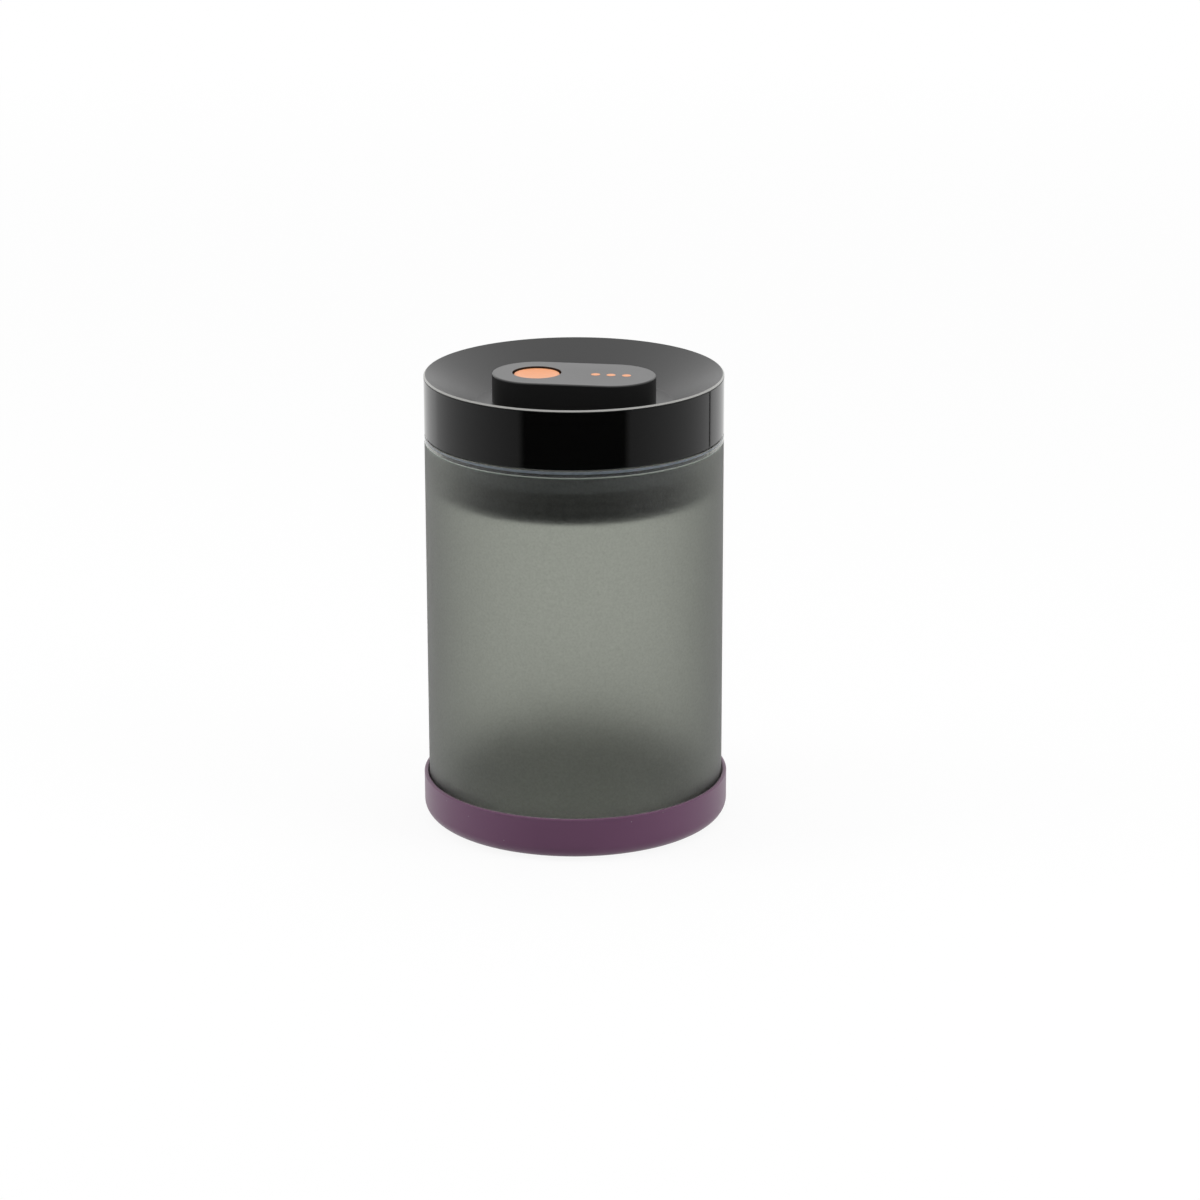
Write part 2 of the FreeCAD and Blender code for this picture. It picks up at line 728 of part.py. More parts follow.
def add_air_ports(cup):
    """The intake spigot over the filter's recess, and the seat of the release valve."""
    recess = new_sketch(cup, "recess", offset="plug_bottom + filter_recess_depth")
    add_circle(recess, ("0", "0"), "filter_recess_radius")
    pocket(cup, recess, "filter_recess_depth + overrun")
    spigot = new_sketch(cup, "spigot", offset="plug_floor_top - plug_floor / 4")
    add_circle(spigot, ("pump_x", "intake_y"), "nozzle_radius")
    pad(cup, spigot, "spigot_height + plug_floor / 4")
    seat = new_sketch(cup, "seat", offset="plug_bottom + plug_floor / 2")
    add_circle(seat, ("0", "release_y"), "seat_radius")
    pad(cup, seat, "plug_floor / 2 + seat_height")
    bores = new_sketch(cup, "bores", offset="plug_floor_top + spigot_height")
    add_circle(bores, ("pump_x", "intake_y"), "nozzle_bore_radius")
    add_circle(bores, ("0", "release_y"), "vent_radius")
    pocket(cup, bores, "spigot_height + plug_floor + overrun")


def make_plug_seal():
    """A silicone ring whose lips wipe the inside of the jar."""
    inner = "groove_radius + join_gap"
    bottom = "groove_bottom + join_gap"
    reach = "jar_inner - fit_gap"
    pitch = "(seal_height - 2 * join_gap) / seal_lip_count"
    corners = [(inner, bottom), ("plug_radius", bottom)]
    for lip in range(COUNTS["seal_lip_count"]):
        foot = "%s + %d * %s + (%s - seal_lip_root - seal_lip_rise) / 2" % (bottom, lip, pitch, pitch)
        corners += [
            ("plug_radius", foot),
            (reach, foot + " + seal_lip_rise"),
            (reach, foot + " + seal_lip_rise + seal_lip_tip"),
            ("plug_radius", foot + " + seal_lip_root"),
        ]
    corners += [("plug_radius", "groove_top - join_gap"), (inner, "groove_top - join_gap")]
    turned_body("plug_seal", corners)


def stud_group(label, places, rounds, count=None):
    """Alike fasteners as one group: each is a stack of (radius, low, high) rounds at each place."""
    body = new_body(label)
    pads = []
    for number, (radius, low, high) in enumerate(rounds):
        sketch = new_sketch(body, "round_%d" % number, offset=low)
        for place in places:
            add_circle(sketch, place, radius)
        pads.append(pad(body, sketch, "%s - (%s)" % (high, low)))
    if count:
        repeat_round(body, pads, count)


def make_housing_fasteners():
    stud_group("housing_screws", [("0", "-post_ring")], [
        ("screw_head_radius", "screw_seat - run_gap - screw_head_height", "screw_seat - run_gap"),
        ("screw_radius", "screw_seat - run_gap", "screw_seat + screw_length"),
    ], "post_count")
    stud_group("screw_plugs", [("0", "-post_ring")], [
        ("screw_head_radius + join_gap", "plug_bottom", "plug_bottom + screw_plug_height"),
    ], "post_count")


# Electronics

def make_circuit_board():
    board = new_body("circuit_board", ("0", "0", "board_bottom"))
    outline = new_sketch(board, "outline")
    add_polygon(outline, [
        ("-board_half_length", "-board_half_width"), ("board_half_length", "-board_half_width"),
        ("board_half_length", "board_half_width"), ("tongue_half_width", "board_half_width"),
        ("tongue_half_width", "tongue_end"), ("-tongue_half_width", "tongue_end"),
        ("-tongue_half_width", "board_half_width"), ("-board_half_length", "board_half_width"),
    ])
    pad(board, outline, "board_thickness")
    holes = new_sketch(board, "holes", offset="board_thickness")
    for place in corner_places("standoff_x", "standoff_y"):
        add_circle(holes, place, "board_screw_radius + join_gap")
    pocket(board, holes, "board_thickness + overrun")
    stud_group("board_screws", corner_places("standoff_x", "standoff_y"), [
        ("board_screw_head_radius", "board_bottom - run_gap - board_screw_head_height",
         "board_bottom - run_gap"),
        ("board_screw_radius", "board_bottom - run_gap", "board_top + board_screw_bite"),
    ])
    chip = new_body("control_chip", ("0", "chip_y", "board_top + run_gap"))
    square = new_sketch(chip, "outline")
    add_rectangle(square, ("-chip_side / 2", "-chip_side / 2"), ("chip_side / 2", "chip_side / 2"))
    pad(chip, square, "chip_height")


def make_charge_socket():
    """A flat round-ended shell, open towards +Y, with a contact tongue inside."""
    socket = new_body("charge_socket", ("0", "socket_mouth", "socket_middle"))
    shell = new_sketch(socket, "shell", "XZ_Plane")
    add_slot(shell, ("-socket_half_run", "0"), ("socket_half_run", "0"), "socket_height / 2")
    pad(socket, shell, "socket_depth")
    mouth = new_sketch(socket, "mouth", "XZ_Plane")
    add_slot(mouth, ("-socket_half_run", "0"), ("socket_half_run", "0"),
             "socket_height / 2 - socket_wall")
    pocket(socket, mouth, "socket_depth - socket_wall", flip=True)
    tongue = new_sketch(socket, "tongue", "XZ_Plane", "socket_depth - socket_wall - socket_tongue_length")
    add_rectangle(tongue, ("-socket_tongue_width / 2", "-socket_tongue_height / 2"),
                  ("socket_tongue_width / 2", "socket_tongue_height / 2"))
    pad(socket, tongue, "socket_tongue_length + socket_wall / 2")


def make_power_button():
    button = turned_body("power_button", [
        ("0", "stem_bottom + run_gap"),
        ("button_stem_radius", "stem_bottom + run_gap"),
        ("button_stem_radius", "button_flange_bottom"),
        ("button_flange_radius", "button_flange_bottom"),
        ("button_flange_radius", "button_flange_top"),
        ("button_radius", "button_flange_top"),
        ("button_radius", "button_top"),
        ("0", "button_top"),
    ], ("-grip_reach", "0", "0"))
    doc.recompute()
    dip = button.newObject("PartDesign::SubtractiveSphere", "power_button_dip")
    dip.AttachmentSupport = [(origin_feature(button, "XY_Plane"), "")]
    dip.MapMode = "FlatFace"
    bind(dip, "Radius", "button_dip_sphere")
    bind(dip, "AttachmentOffset.Base.z", "button_top - button_dip + button_dip_sphere")
    check_cut(dip)
    turned_body("button_membrane", [
        ("button_stem_radius + fit_gap", "membrane_floor_top - membrane_floor"),
        ("membrane_inner + membrane_wall", "membrane_floor_top - membrane_floor"),
        ("membrane_inner + membrane_wall", "membrane_top"),
        ("membrane_inner", "membrane_top"),
        ("membrane_inner", "membrane_floor_top"),
        ("button_stem_radius + fit_gap", "membrane_floor_top"),
    ], ("-grip_reach", "0", "0"))


def make_switch():
    switch = new_body("switch_body", ("-grip_reach", "0", "board_top + run_gap"))
    square = new_sketch(switch, "outline")
    add_rectangle(square, ("-switch_side / 2", "-switch_side / 2"), ("switch_side / 2", "switch_side / 2"))
    pad(switch, square, "switch_height")
    bore = new_sketch(switch, "bore", offset="switch_height")
    add_circle(bore, ("0", "0"), "button_stem_radius + run_gap")
    pocket(switch, bore, "switch_bore_depth")
    turned_body("switch_plunger", [
        ("0", "plunger_foot"), ("button_stem_radius", "plunger_foot"),
        ("button_stem_radius", "stem_bottom"), ("0", "stem_bottom"),
    ], ("-grip_reach", "0", "0"))


def make_battery_cell():
    turned_body("battery_cell", [
        ("0", "0"), ("cell_radius", "0"), ("cell_radius", "cell_length"),
        ("cell_nub_radius", "cell_length"), ("cell_nub_radius", "cell_length + cell_nub_length"),
        ("0", "cell_length + cell_nub_length"),
    ], ("-cell_length / 2", "cell_y", "cell_height"), along_x=True)


# Motor and pump

def add_motor_section(sketch, inset):
    """The motor's round outline between two flats. The body's X points down once it lies along X."""
    flat = "motor_half_height - " + inset
    radius = "motor_radius - " + inset
    size = length(radius)
    half_turn = math.acos(length(flat) / size)
    across = "sqrt((%s) ^ 2 - (%s) ^ 2)" % (radius, flat)
    circle = Part.Circle(FreeCAD.Vector(), FreeCAD.Vector(0, 0, 1), size)
    upper = sketch.addGeometry(Part.ArcOfCircle(circle, half_turn, math.pi - half_turn))
    lower = sketch.addGeometry(Part.ArcOfCircle(circle, math.pi + half_turn, 2 * math.pi - half_turn))
    left = sketch.addGeometry(Part.LineSegment(point(("-(%s)" % flat, across)),
                                               point(("-(%s)" % flat, "-" + across))))
    right = sketch.addGeometry(Part.LineSegment(point((flat, "-" + across)), point((flat, across))))
    chain = ((upper, left), (left, lower), (lower, right), (right, upper))
    for first, following in chain:
        sketch.addConstraint(Sketcher.Constraint("Coincident", first, 2, following, 1))
    sketch.addConstraint(Sketcher.Constraint("Vertical", left))
    sketch.addConstraint(Sketcher.Constraint("Vertical", right))
    for arc in (upper, lower):
        pin_point(sketch, arc, 3, ("0", "0"))
        set_radius(sketch, arc, radius)
    for line, side in ((left, "-(%s)" % flat), (right, flat)):
        index = sketch.addConstraint(Sketcher.Constraint("DistanceX", -1, 1, line, 1, length(side)))
        bind(sketch, "Constraints[%d]" % index, side)


def make_motor():
    can_place = ("case_front - run_gap - motor_length", "pump_y", "shaft_height")
    can = new_body("motor_can", can_place, along_x=True)
    section = new_sketch(can, "section")
    add_motor_section(section, "0")
    pad(can, section, "motor_length")
    boss = new_sketch(can, "boss", offset="motor_length")
    add_circle(boss, ("0", "0"), "motor_boss_radius")
    pad(can, boss, "motor_boss_length")
    bore = new_sketch(can, "bore", offset="motor_length + motor_boss_length")
    add_circle(bore, ("0", "0"), "shaft_radius + run_gap")
    pocket(can, bore, "shaft_seat + motor_boss_length")
    cap_place = ("case_front - 2 * run_gap - motor_length - motor_cap_length", "pump_y", "shaft_height")
    cap = new_body("motor_end_cap", cap_place, along_x=True)
    cap_section = new_sketch(cap, "section")
    add_motor_section(cap_section, "motor_cap_inset")
    pad(cap, cap_section, "motor_cap_length")
    terminals = new_sketch(cap, "terminals")
    for middle in ("terminal_reach", "-terminal_reach"):
        add_rectangle(terminals, ("-terminal_width / 2", middle + " - terminal_thickness / 2"),
                      ("terminal_width / 2", middle + " + terminal_thickness / 2"))
    pad(cap, terminals, "terminal_length", flip=True)
    cushion = new_body("motor_pad", ("0", "pump_y", "plug_floor_top + run_gap"))
    sheet_outline = new_sketch(cushion, "outline")
    add_rectangle(sheet_outline, ("case_front - motor_length", "-pad_half_width"),
                  ("pump_x + case_half", "pad_half_width"))
    pad(cushion, sheet_outline, "pad_height")


def make_crank():
    """The motor's shaft, and on it a hub with an off-centre pin that drives the rod."""
    turned_body("motor_shaft", [
        ("0", "-shaft_seat + fit_gap"), ("shaft_radius", "-shaft_seat + fit_gap"),
        ("shaft_radius", "hub_front - case_front"), ("0", "hub_front - case_front"),
    ], ("case_front", "pump_y", "shaft_height"), along_x=True)
    hub = new_body("crank_hub", ("hub_back", "pump_y", "shaft_height"), along_x=True)
    hub_depth = "hub_front - hub_back"
    disc = new_sketch(hub, "disc")
    add_circle(disc, ("0", "0"), "crank_hub_radius")
    pad(hub, disc, hub_depth)
    bore = new_sketch(hub, "bore", offset=hub_depth)
    add_circle(bore, ("0", "0"), "shaft_radius + run_gap")
    pocket(hub, bore, hub_depth + " + overrun")
    pin = new_sketch(hub, "pin", offset=hub_depth)
    add_circle(pin, ("-crank_throw", "0"), "crank_pin_radius")
    pad(hub, pin, "rod_back + rod_thickness + fit_gap - hub_front")


def make_rod():
    """A ring on the crank's pin, a neck, and the plate that carries the diaphragm."""
    rod = new_body("connecting_rod", ("rod_back", "pump_y", "crank_pin_height"), along_x=True)
    ring = new_sketch(rod, "ring")
    add_circle(ring, ("0", "0"), "rod_bore_radius + rod_ring")
    pad(rod, ring, "rod_thickness")
    neck = new_sketch(rod, "neck")
    add_rectangle(neck, ("-rod_height + rod_plate_height / 2", "-rod_neck / 2"),
                  ("-rod_bore_radius", "rod_neck / 2"))
    pad(rod, neck, "rod_thickness")
    plate = new_sketch(rod, "plate", "YZ_Plane", "-rod_height")
    add_circle(plate, ("0", "rod_thickness / 2"), "rod_plate_radius")
    pad(rod, plate, "rod_plate_height")
    bore = new_sketch(rod, "bore", offset="rod_thickness")
    add_circle(bore, ("0", "0"), "rod_bore_radius")
    pocket(rod, bore, "rod_thickness + overrun")
    clamp_seat = "crank_pin_height + rod_height + run_gap / 2"
    turned_body("diaphragm_clamp", [
        ("0", clamp_seat), ("clamp_pin_radius", clamp_seat),
        ("clamp_pin_radius", "diaphragm_top + run_gap"), ("clamp_radius", "diaphragm_top + run_gap"),
        ("clamp_radius", "diaphragm_top + run_gap + clamp_height"),
        ("0", "diaphragm_top + run_gap + clamp_height"),
    ], ("pump_x", "pump_y", "0"))


def add_case_square(sketch):
    add_rectangle(sketch, ("-case_half", "-case_half"), ("case_half", "case_half"))


def drill_pump_corners(body, radius, top, depth):
    """Holes for the four pump screws, from a height downwards."""
    holes = new_sketch(body, "screw_holes", offset=top)
    for place in corner_places("pump_screw_reach", "pump_screw_reach"):
        add_circle(holes, place, radius)
    pocket(body, holes, depth)


def make_pump_case():
    case = new_body("pump_crankcase", ("pump_x", "pump_y", "0"))
    block = new_sketch(case, "block", offset="case_bottom")
    add_case_square(block)
    pad(case, block, "case_top - case_bottom")
    tunnel = new_sketch(case, "tunnel", "YZ_Plane", "case_half")
    add_circle(tunnel, ("0", "shaft_height"), "case_bore_radius")
    pocket(case, tunnel, "2 * case_half - case_wall")
    boss_hole = new_sketch(case, "boss_hole", "YZ_Plane", "case_wall - case_half")
    add_circle(boss_hole, ("0", "shaft_height"), "motor_boss_radius + run_gap")
    pocket(case, boss_hole, "case_wall + overrun")
    mouth = new_sketch(case, "mouth", offset="case_top")
    add_circle(mouth, ("0", "0"), "case_mouth_radius")
    pocket(case, mouth, "case_top - shaft_height")
    drill_pump_corners(case, "pump_screw_radius + run_gap", "case_top", "pump_screw_bite + fit_gap")


def make_diaphragm():
    turned_body("pump_diaphragm", [
        ("clamp_pin_radius + run_gap", "case_top + run_gap"), ("diaphragm_radius", "case_top + run_gap"),
        ("diaphragm_radius", "diaphragm_top"), ("clamp_pin_radius + run_gap", "diaphragm_top"),
    ], ("pump_x", "pump_y", "0"))


def make_valve_plate():
    plate = new_body("valve_plate", ("pump_x", "pump_y", "0"))
    block = new_sketch(plate, "block", offset="valve_plate_bottom")
    add_case_square(block)
    pad(plate, block, "valve_plate_height")
    chamber = new_sketch(plate, "chamber", offset="valve_plate_bottom + chamber_depth")
    add_circle(chamber, ("0", "0"), "chamber_radius")
    pocket(plate, chamber, "chamber_depth + overrun")
    holes = new_sketch(plate, "valve_holes", offset="valve_plate_top")
    for place in (("0", "flap_reach"), ("0", "-flap_reach")):
        add_circle(holes, place, "valve_hole_radius")
    pocket(plate, holes, "valve_plate_height + overrun")
    drill_pump_corners(plate, "pump_screw_radius + join_gap", "valve_plate_top",
                       "valve_plate_height + overrun")
    flaps = new_body("valve_flaps", ("pump_x", "pump_y", "0"))
    for name, place, low in (
            ("inlet", ("0", "flap_reach"), "valve_plate_bottom + chamber_depth - flap_height - run_gap"),
            ("outlet", ("0", "-flap_reach"), "head_bottom + run_gap")):
        flap = new_sketch(flaps, name, offset=low)
        add_circle(flap, place, "flap_radius")
        pad(flaps, flap, "flap_height")


def make_pump_head():
    head = new_body("pump_head", ("pump_x", "pump_y", "0"))
    block = new_sketch(head, "block", offset="head_bottom")
    add_case_square(block)
    pad(head, block, "head_height")
    for name, start, reach, flip in (("nozzle", "-case_half", "nozzle_length", True),
                                     ("exhaust", "case_half", "exhaust_length", False)):
        spout = new_sketch(head, name, "XZ_Plane", start)
        add_circle(spout, ("0", "nozzle_height"), "nozzle_radius - run_gap")
        pad(head, spout, reach, flip)
    pockets = new_sketch(head, "pockets", offset="head_bottom + head_pocket_depth")
    for place in (("0", "flap_reach"), ("0", "-flap_reach")):
        add_circle(pockets, place, "head_pocket_radius")
    pocket(head, pockets, "head_pocket_depth + overrun")
    for name, start, reach, flip in (
            ("nozzle_bore", "-case_half - nozzle_length", "case_half + nozzle_length - flap_reach", False),
            ("exhaust_bore", "case_half + exhaust_length", "case_half + exhaust_length - flap_reach", True)):
        bore = new_sketch(head, name, "XZ_Plane", start)
        add_circle(bore, ("0", "nozzle_height"), "nozzle_bore_radius")
        pocket(head, bore, reach, not flip)
    drill_pump_corners(head, "pump_screw_radius + join_gap", "head_top", "head_height + overrun")
    sinks = new_sketch(head, "screw_sinks", offset="head_top")
    for place in corner_places("pump_screw_reach", "pump_screw_reach"):
        add_circle(sinks, place, "pump_screw_head_radius + join_gap")
    pocket(head, sinks, "pump_screw_head_height + run_gap")
    make_pump_screws()


def make_pump_screws():
    screws = new_body("pump_screws", ("pump_x", "pump_y", "0"))
    for name, radius, low, high in (
            ("shank", "pump_screw_radius", "case_top - pump_screw_bite", "head_top - pump_screw_head_height"),
            ("head", "pump_screw_head_radius", "head_top - pump_screw_head_height", "head_top")):
        sketch = new_sketch(screws, name, offset=low)
        for place in corner_places("pump_screw_reach", "pump_screw_reach"):
            add_circle(sketch, place, radius)
        pad(screws, sketch, "%s - (%s)" % (high, low))


def make_intake_hose():
    """A silicone hose from the head's nozzle, bent down on to the spigot of the plug's floor."""
    hose = new_body("intake_hose", ("pump_x", "0", "0"))
    start = ("pump_y + case_half + join_gap", "nozzle_height")
    bend_start = ("intake_y - hose_bend", "nozzle_height")
    bend_end = ("intake_y", "nozzle_height - hose_bend")
    foot = ("intake_y", "plug_floor_top + join_gap")
    route = new_sketch(hose, "route", "YZ_Plane")
    level = route.addGeometry(Part.LineSegment(point(start), point(bend_start)))
    middle = point((bend_start[0], bend_end[1]))
    circle = Part.Circle(middle, FreeCAD.Vector(0, 0, 1), length("hose_bend"))
    bend = route.addGeometry(Part.ArcOfCircle(circle, 0, math.pi / 2))
    drop = route.addGeometry(Part.LineSegment(point(bend_end), point(foot)))
    route.addConstraint(Sketcher.Constraint("Tangent", level, 2, bend, 2))
    route.addConstraint(Sketcher.Constraint("Coincident", bend, 1, drop, 1))
    for line, places in ((level, (start, bend_start)), (drop, (bend_end, foot))):
        for vertex, place in enumerate(places, start=1):
            pin_point(route, line, vertex, place)
    ring = new_sketch(hose, "ring", "XZ_Plane", "-(%s)" % start[0])
    for radius in ("hose_outer", "hose_inner"):
        add_circle(ring, ("0", "nozzle_height"), radius)
    doc.recompute()
    pipe = hose.newObject("PartDesign::AdditivePipe", "intake_hose_pipe")
    pipe.Profile = ring
    pipe.Spine = (route, ["Edge1", "Edge2", "Edge3"])


# Filter and release valve

def make_filter():
    turned_body("filter_disc", [
        ("0", "plug_bottom + run_gap"), ("filter_radius", "plug_bottom + run_gap"),
        ("filter_radius", "plug_bottom + run_gap + filter_height"),
        ("0", "plug_bottom + run_gap + filter_height"),
    ])
    cap = turned_body("filter_cap", [
        ("0", "plug_bottom - cap_height"), ("cap_radius", "plug_bottom - cap_height"),
        ("cap_radius", "plug_bottom - run_gap"), ("cap_ring_radius", "plug_bottom - run_gap"),
        ("cap_ring_radius", "plug_bottom + filter_height"),
        ("cap_ring_radius - cap_ring", "plug_bottom + filter_height"),
        ("cap_ring_radius - cap_ring", "plug_bottom - run_gap"), ("0", "plug_bottom - run_gap"),
    ])
    for name, ring, count in (("middle", "0", None), ("inner", "cap_inner_ring", "cap_inner_holes"),
                              ("outer", "cap_outer_ring", "cap_outer_holes")):
        hole = new_sketch(cap, name, offset="plug_bottom - run_gap")
        add_circle(hole, (ring, "0"), "cap_hole_radius")
        hole_pocket = pocket(cap, hole, "cap_height + overrun")
        if count:
            repeat_round(cap, [hole_pocket], count)


def make_release_valve():
    place = ("0", "release_y", "0")
    frame = new_body("release_frame", place)
    bracket = new_sketch(frame, "bracket", "XZ_Plane", "-release_half_depth")
    inside = "-release_half_width + release_plate"
    add_polygon(bracket, [
        ("-release_half_width", "release_bottom"), ("release_half_width", "release_bottom"),
        ("release_half_width", "release_bottom + release_plate"), (inside, "release_bottom + release_plate"),
        (inside, "release_top - release_plate"), ("release_half_width", "release_top - release_plate"),
        ("release_half_width", "release_top"), ("-release_half_width", "release_top"),
    ])
    pad(frame, bracket, "2 * release_half_depth")
    hole = new_sketch(frame, "hole", offset="release_bottom + release_plate")
    add_circle(hole, ("0", "0"), "plunger_radius + fit_gap")
    pocket(frame, hole, "release_plate + overrun")
    coil_bottom = "release_bottom + release_plate + run_gap"
    coil_top = "release_top - release_plate - run_gap"
    flange = "coil_radius + bobbin_flange"
    turned_body("release_coil", [
        ("plunger_radius + fit_gap", coil_bottom), (flange, coil_bottom),
        (flange, coil_bottom + " + bobbin_flange_height"),
        ("coil_radius", coil_bottom + " + bobbin_flange_height"),
        ("coil_radius", coil_top + " - bobbin_flange_height"),
        (flange, coil_top + " - bobbin_flange_height"),
        (flange, coil_top), ("plunger_radius + fit_gap", coil_top),
    ], place)
    turned_body("release_plunger", [
        ("0", "plunger_bottom"), ("plunger_radius", "plunger_bottom"),
        ("plunger_radius", "plunger_top"), ("0", "plunger_top"),
    ], place)
    turned_body("release_tip", [
        ("0", "tip_bottom"), ("plunger_radius", "tip_bottom"),
        ("plunger_radius", "plunger_bottom - run_gap / 2"), ("0", "plunger_bottom - run_gap / 2"),
    ], place)
    make_release_spring(coil_top)


def biarc(start, start_way, end, end_way):
    """Two arcs that join two points with the given unit directions."""
    chord = end - start
    ways = start_way + end_way
    open_share = 2 * (1 - start_way.dot(end_way))
    reach = (math.sqrt(chord.dot(ways) ** 2 + open_share * chord.dot(chord)) - chord.dot(ways)) / open_share
    joint = (start + end + (start_way - end_way) * reach) * 0.5
    edges = []
    halves = ((start, joint, start + start_way * reach), (joint, end, end - end_way * reach))
    for first, last, corner in halves:
        half_chord = (last - first) * 0.5
        middle = first + half_chord
        rise = corner - middle
        half_angle = math.atan2(rise.Length, half_chord.Length)
        sagitta = half_chord.Length * math.tan(half_angle / 2)
        edges.append(Part.Arc(first, middle + rise.normalize() * sagitta, last).toShape())
    return edges


def make_release_spring(top_text):
    """The coil that holds the release valve shut, between the plunger and the frame's top plate."""
    radius = length("spring_radius")
    wire = length("spring_wire_radius")
    turns = COUNTS["spring_turns"]
    low = length("plunger_top + run_gap") + wire
    rise = length(top_text) - wire - low
    steps_per_turn = 4
    steps = turns * steps_per_turn
    turn_rise = rise / turns

    def place_and_way(step):
        angle = 2 * math.pi * step / steps_per_turn
        place = FreeCAD.Vector(radius * math.cos(angle), radius * math.sin(angle), low + rise * step / steps)
        way = FreeCAD.Vector(-radius * math.sin(angle), radius * math.cos(angle), turn_rise / (2 * math.pi))
        return place, way.normalize()
    edges = []
    for step in range(steps):
        edges += biarc(*place_and_way(step), *place_and_way(step + 1))
    print("release_spring gap between turns %.2f" % (turn_rise - 2 * wire))
    start, way = place_and_way(0)
    section = Part.Wire(Part.Circle(start, way, wire).toShape())
    spring = doc.addObject("Part::Feature", "release_spring")
    spring.Label = "release_spring"
    spring.Shape = Part.Wire(edges).makePipeShell([section], True, False)
    spring.Placement = FreeCAD.Placement(FreeCAD.Vector(0, length("release_y"), 0), FreeCAD.Rotation())
    SUB_PARTS.append(spring)


make_glass_jar()
make_base_boot()
make_lid_skirt()
make_lid_dish()
make_plug_cup()
make_plug_seal()
make_housing_fasteners()
make_circuit_board()
make_charge_socket()
make_power_button()
make_switch()
make_battery_cell()
make_motor()
make_crank()
make_rod()
make_pump_case()
make_diaphragm()
make_valve_plate()
make_pump_head()
make_intake_hose()
make_filter()
make_release_valve()
doc.recompute()

# Every object is whole before any file is written
for thing in doc.Objects:
    if "Invalid" in thing.State or "Error" in thing.State:
        raise RuntimeError(thing.Name + " failed")
for part in SUB_PARTS:
    if part.Shape.isNull() or not part.Shape.isValid() or not part.Shape.Solids:
        raise RuntimeError(part.Label + " has no valid solid")

os.makedirs("parts", exist_ok=True)
for part in SUB_PARTS:
    part.Shape.exportStep("parts/%s.step" % part.Label)
    print("%-18s %d solids %9.1f mm3" % (part.Label, len(part.Shape.Solids), part.Shape.Volume))
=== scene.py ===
# %% [markdown]
# # An electric vacuum canister
# A frosted glass jar stands in a silicone boot. Its lid has a glossy skirt, a satin dish with a grip bar
# and one button, and a plug full of works that draws the air out. The construction is loaded as a fixed
# frame in metres, and this lesson gives each piece its finished surface around that frame.

# %% Load the frame and keep its box
import json
import math

import bmesh
import bpy
from mathutils import Matrix, Vector

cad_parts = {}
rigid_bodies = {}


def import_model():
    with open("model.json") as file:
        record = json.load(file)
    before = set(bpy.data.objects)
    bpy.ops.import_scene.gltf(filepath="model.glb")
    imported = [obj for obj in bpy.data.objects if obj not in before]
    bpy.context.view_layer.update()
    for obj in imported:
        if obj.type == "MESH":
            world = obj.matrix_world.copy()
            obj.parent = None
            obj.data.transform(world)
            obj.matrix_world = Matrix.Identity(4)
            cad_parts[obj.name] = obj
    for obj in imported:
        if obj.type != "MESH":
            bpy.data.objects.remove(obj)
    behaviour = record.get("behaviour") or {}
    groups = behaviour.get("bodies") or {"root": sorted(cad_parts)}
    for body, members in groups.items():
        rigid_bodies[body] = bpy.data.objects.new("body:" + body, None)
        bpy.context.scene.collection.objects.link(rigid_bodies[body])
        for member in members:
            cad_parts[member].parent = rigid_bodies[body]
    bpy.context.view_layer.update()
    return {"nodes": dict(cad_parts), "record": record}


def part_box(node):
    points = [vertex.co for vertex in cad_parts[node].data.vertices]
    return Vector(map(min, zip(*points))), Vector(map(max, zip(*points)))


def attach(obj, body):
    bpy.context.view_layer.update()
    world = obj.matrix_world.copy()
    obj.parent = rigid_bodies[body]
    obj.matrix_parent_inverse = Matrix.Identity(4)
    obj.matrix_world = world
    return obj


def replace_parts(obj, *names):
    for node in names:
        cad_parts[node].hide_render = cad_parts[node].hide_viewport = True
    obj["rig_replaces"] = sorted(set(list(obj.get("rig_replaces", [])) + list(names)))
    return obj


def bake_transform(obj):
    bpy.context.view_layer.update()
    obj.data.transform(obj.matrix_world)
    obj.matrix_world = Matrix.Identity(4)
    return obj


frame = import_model()
MM = 0.001
SLOTS = {row["node"]: row["material_slot"] for row in frame["record"]["subparts"]}
BODIES = {node: body for body, nodes in frame["record"]["behaviour"]["bodies"].items() for node in nodes}

# %% [markdown]
# ## Two small tools for node trees
# Colours are written as the hex values that a paint program shows. Blender's shaders count light, so one
# function turns each value to linear. A second function adds any node, sets its options and fills its
# sockets: with a plain value, with an output of another node, or with a node, which stands for the first of
# its outputs that is in use.

# %% Colour and node helpers
SRGB_KNEE, SRGB_SLOPE, SRGB_OFFSET, SRGB_POWER = 0.04045, 12.92, 0.055, 2.4
WHITE = "#ffffff"


def linear(hex_text):
    """An sRGB hex colour as linear red, green, blue and a full alpha."""
    shares = [int(hex_text[place:place + 2], 16) / 255 for place in (1, 3, 5)]
    lights = [share / SRGB_SLOPE if share <= SRGB_KNEE
              else ((share + SRGB_OFFSET) / (1 + SRGB_OFFSET)) ** SRGB_POWER for share in shares]
    return (*lights, 1.0)


def add(tree, kind, inputs=None, **settings):
    """Adds a node of any kind, with its settings, and values or links for its sockets."""
    node = tree.nodes.new(kind)
    for name, value in settings.items():
        setattr(node, name, value)
    for socket, value in (inputs or {}).items():
        if isinstance(value, bpy.types.Node):
            value = next(output for output in value.outputs if output.enabled)
        if isinstance(value, bpy.types.NodeSocket):
            tree.links.new(value, node.inputs[socket])
        else:
            node.inputs[socket].default_value = value
    return node


print("white is", linear(WHITE)[:3])

# %% [markdown]
# ## The camera
# The photograph was taken with a long lens from a little over a metre away, looking down at the lid. The
# lens and the place were worked out from the ellipses of the lid, the glass and the boot. A constraint could
# aim the camera but gives it no roll, so it is built from its place, its turn about the upright, its tilt and
# a hair of roll.

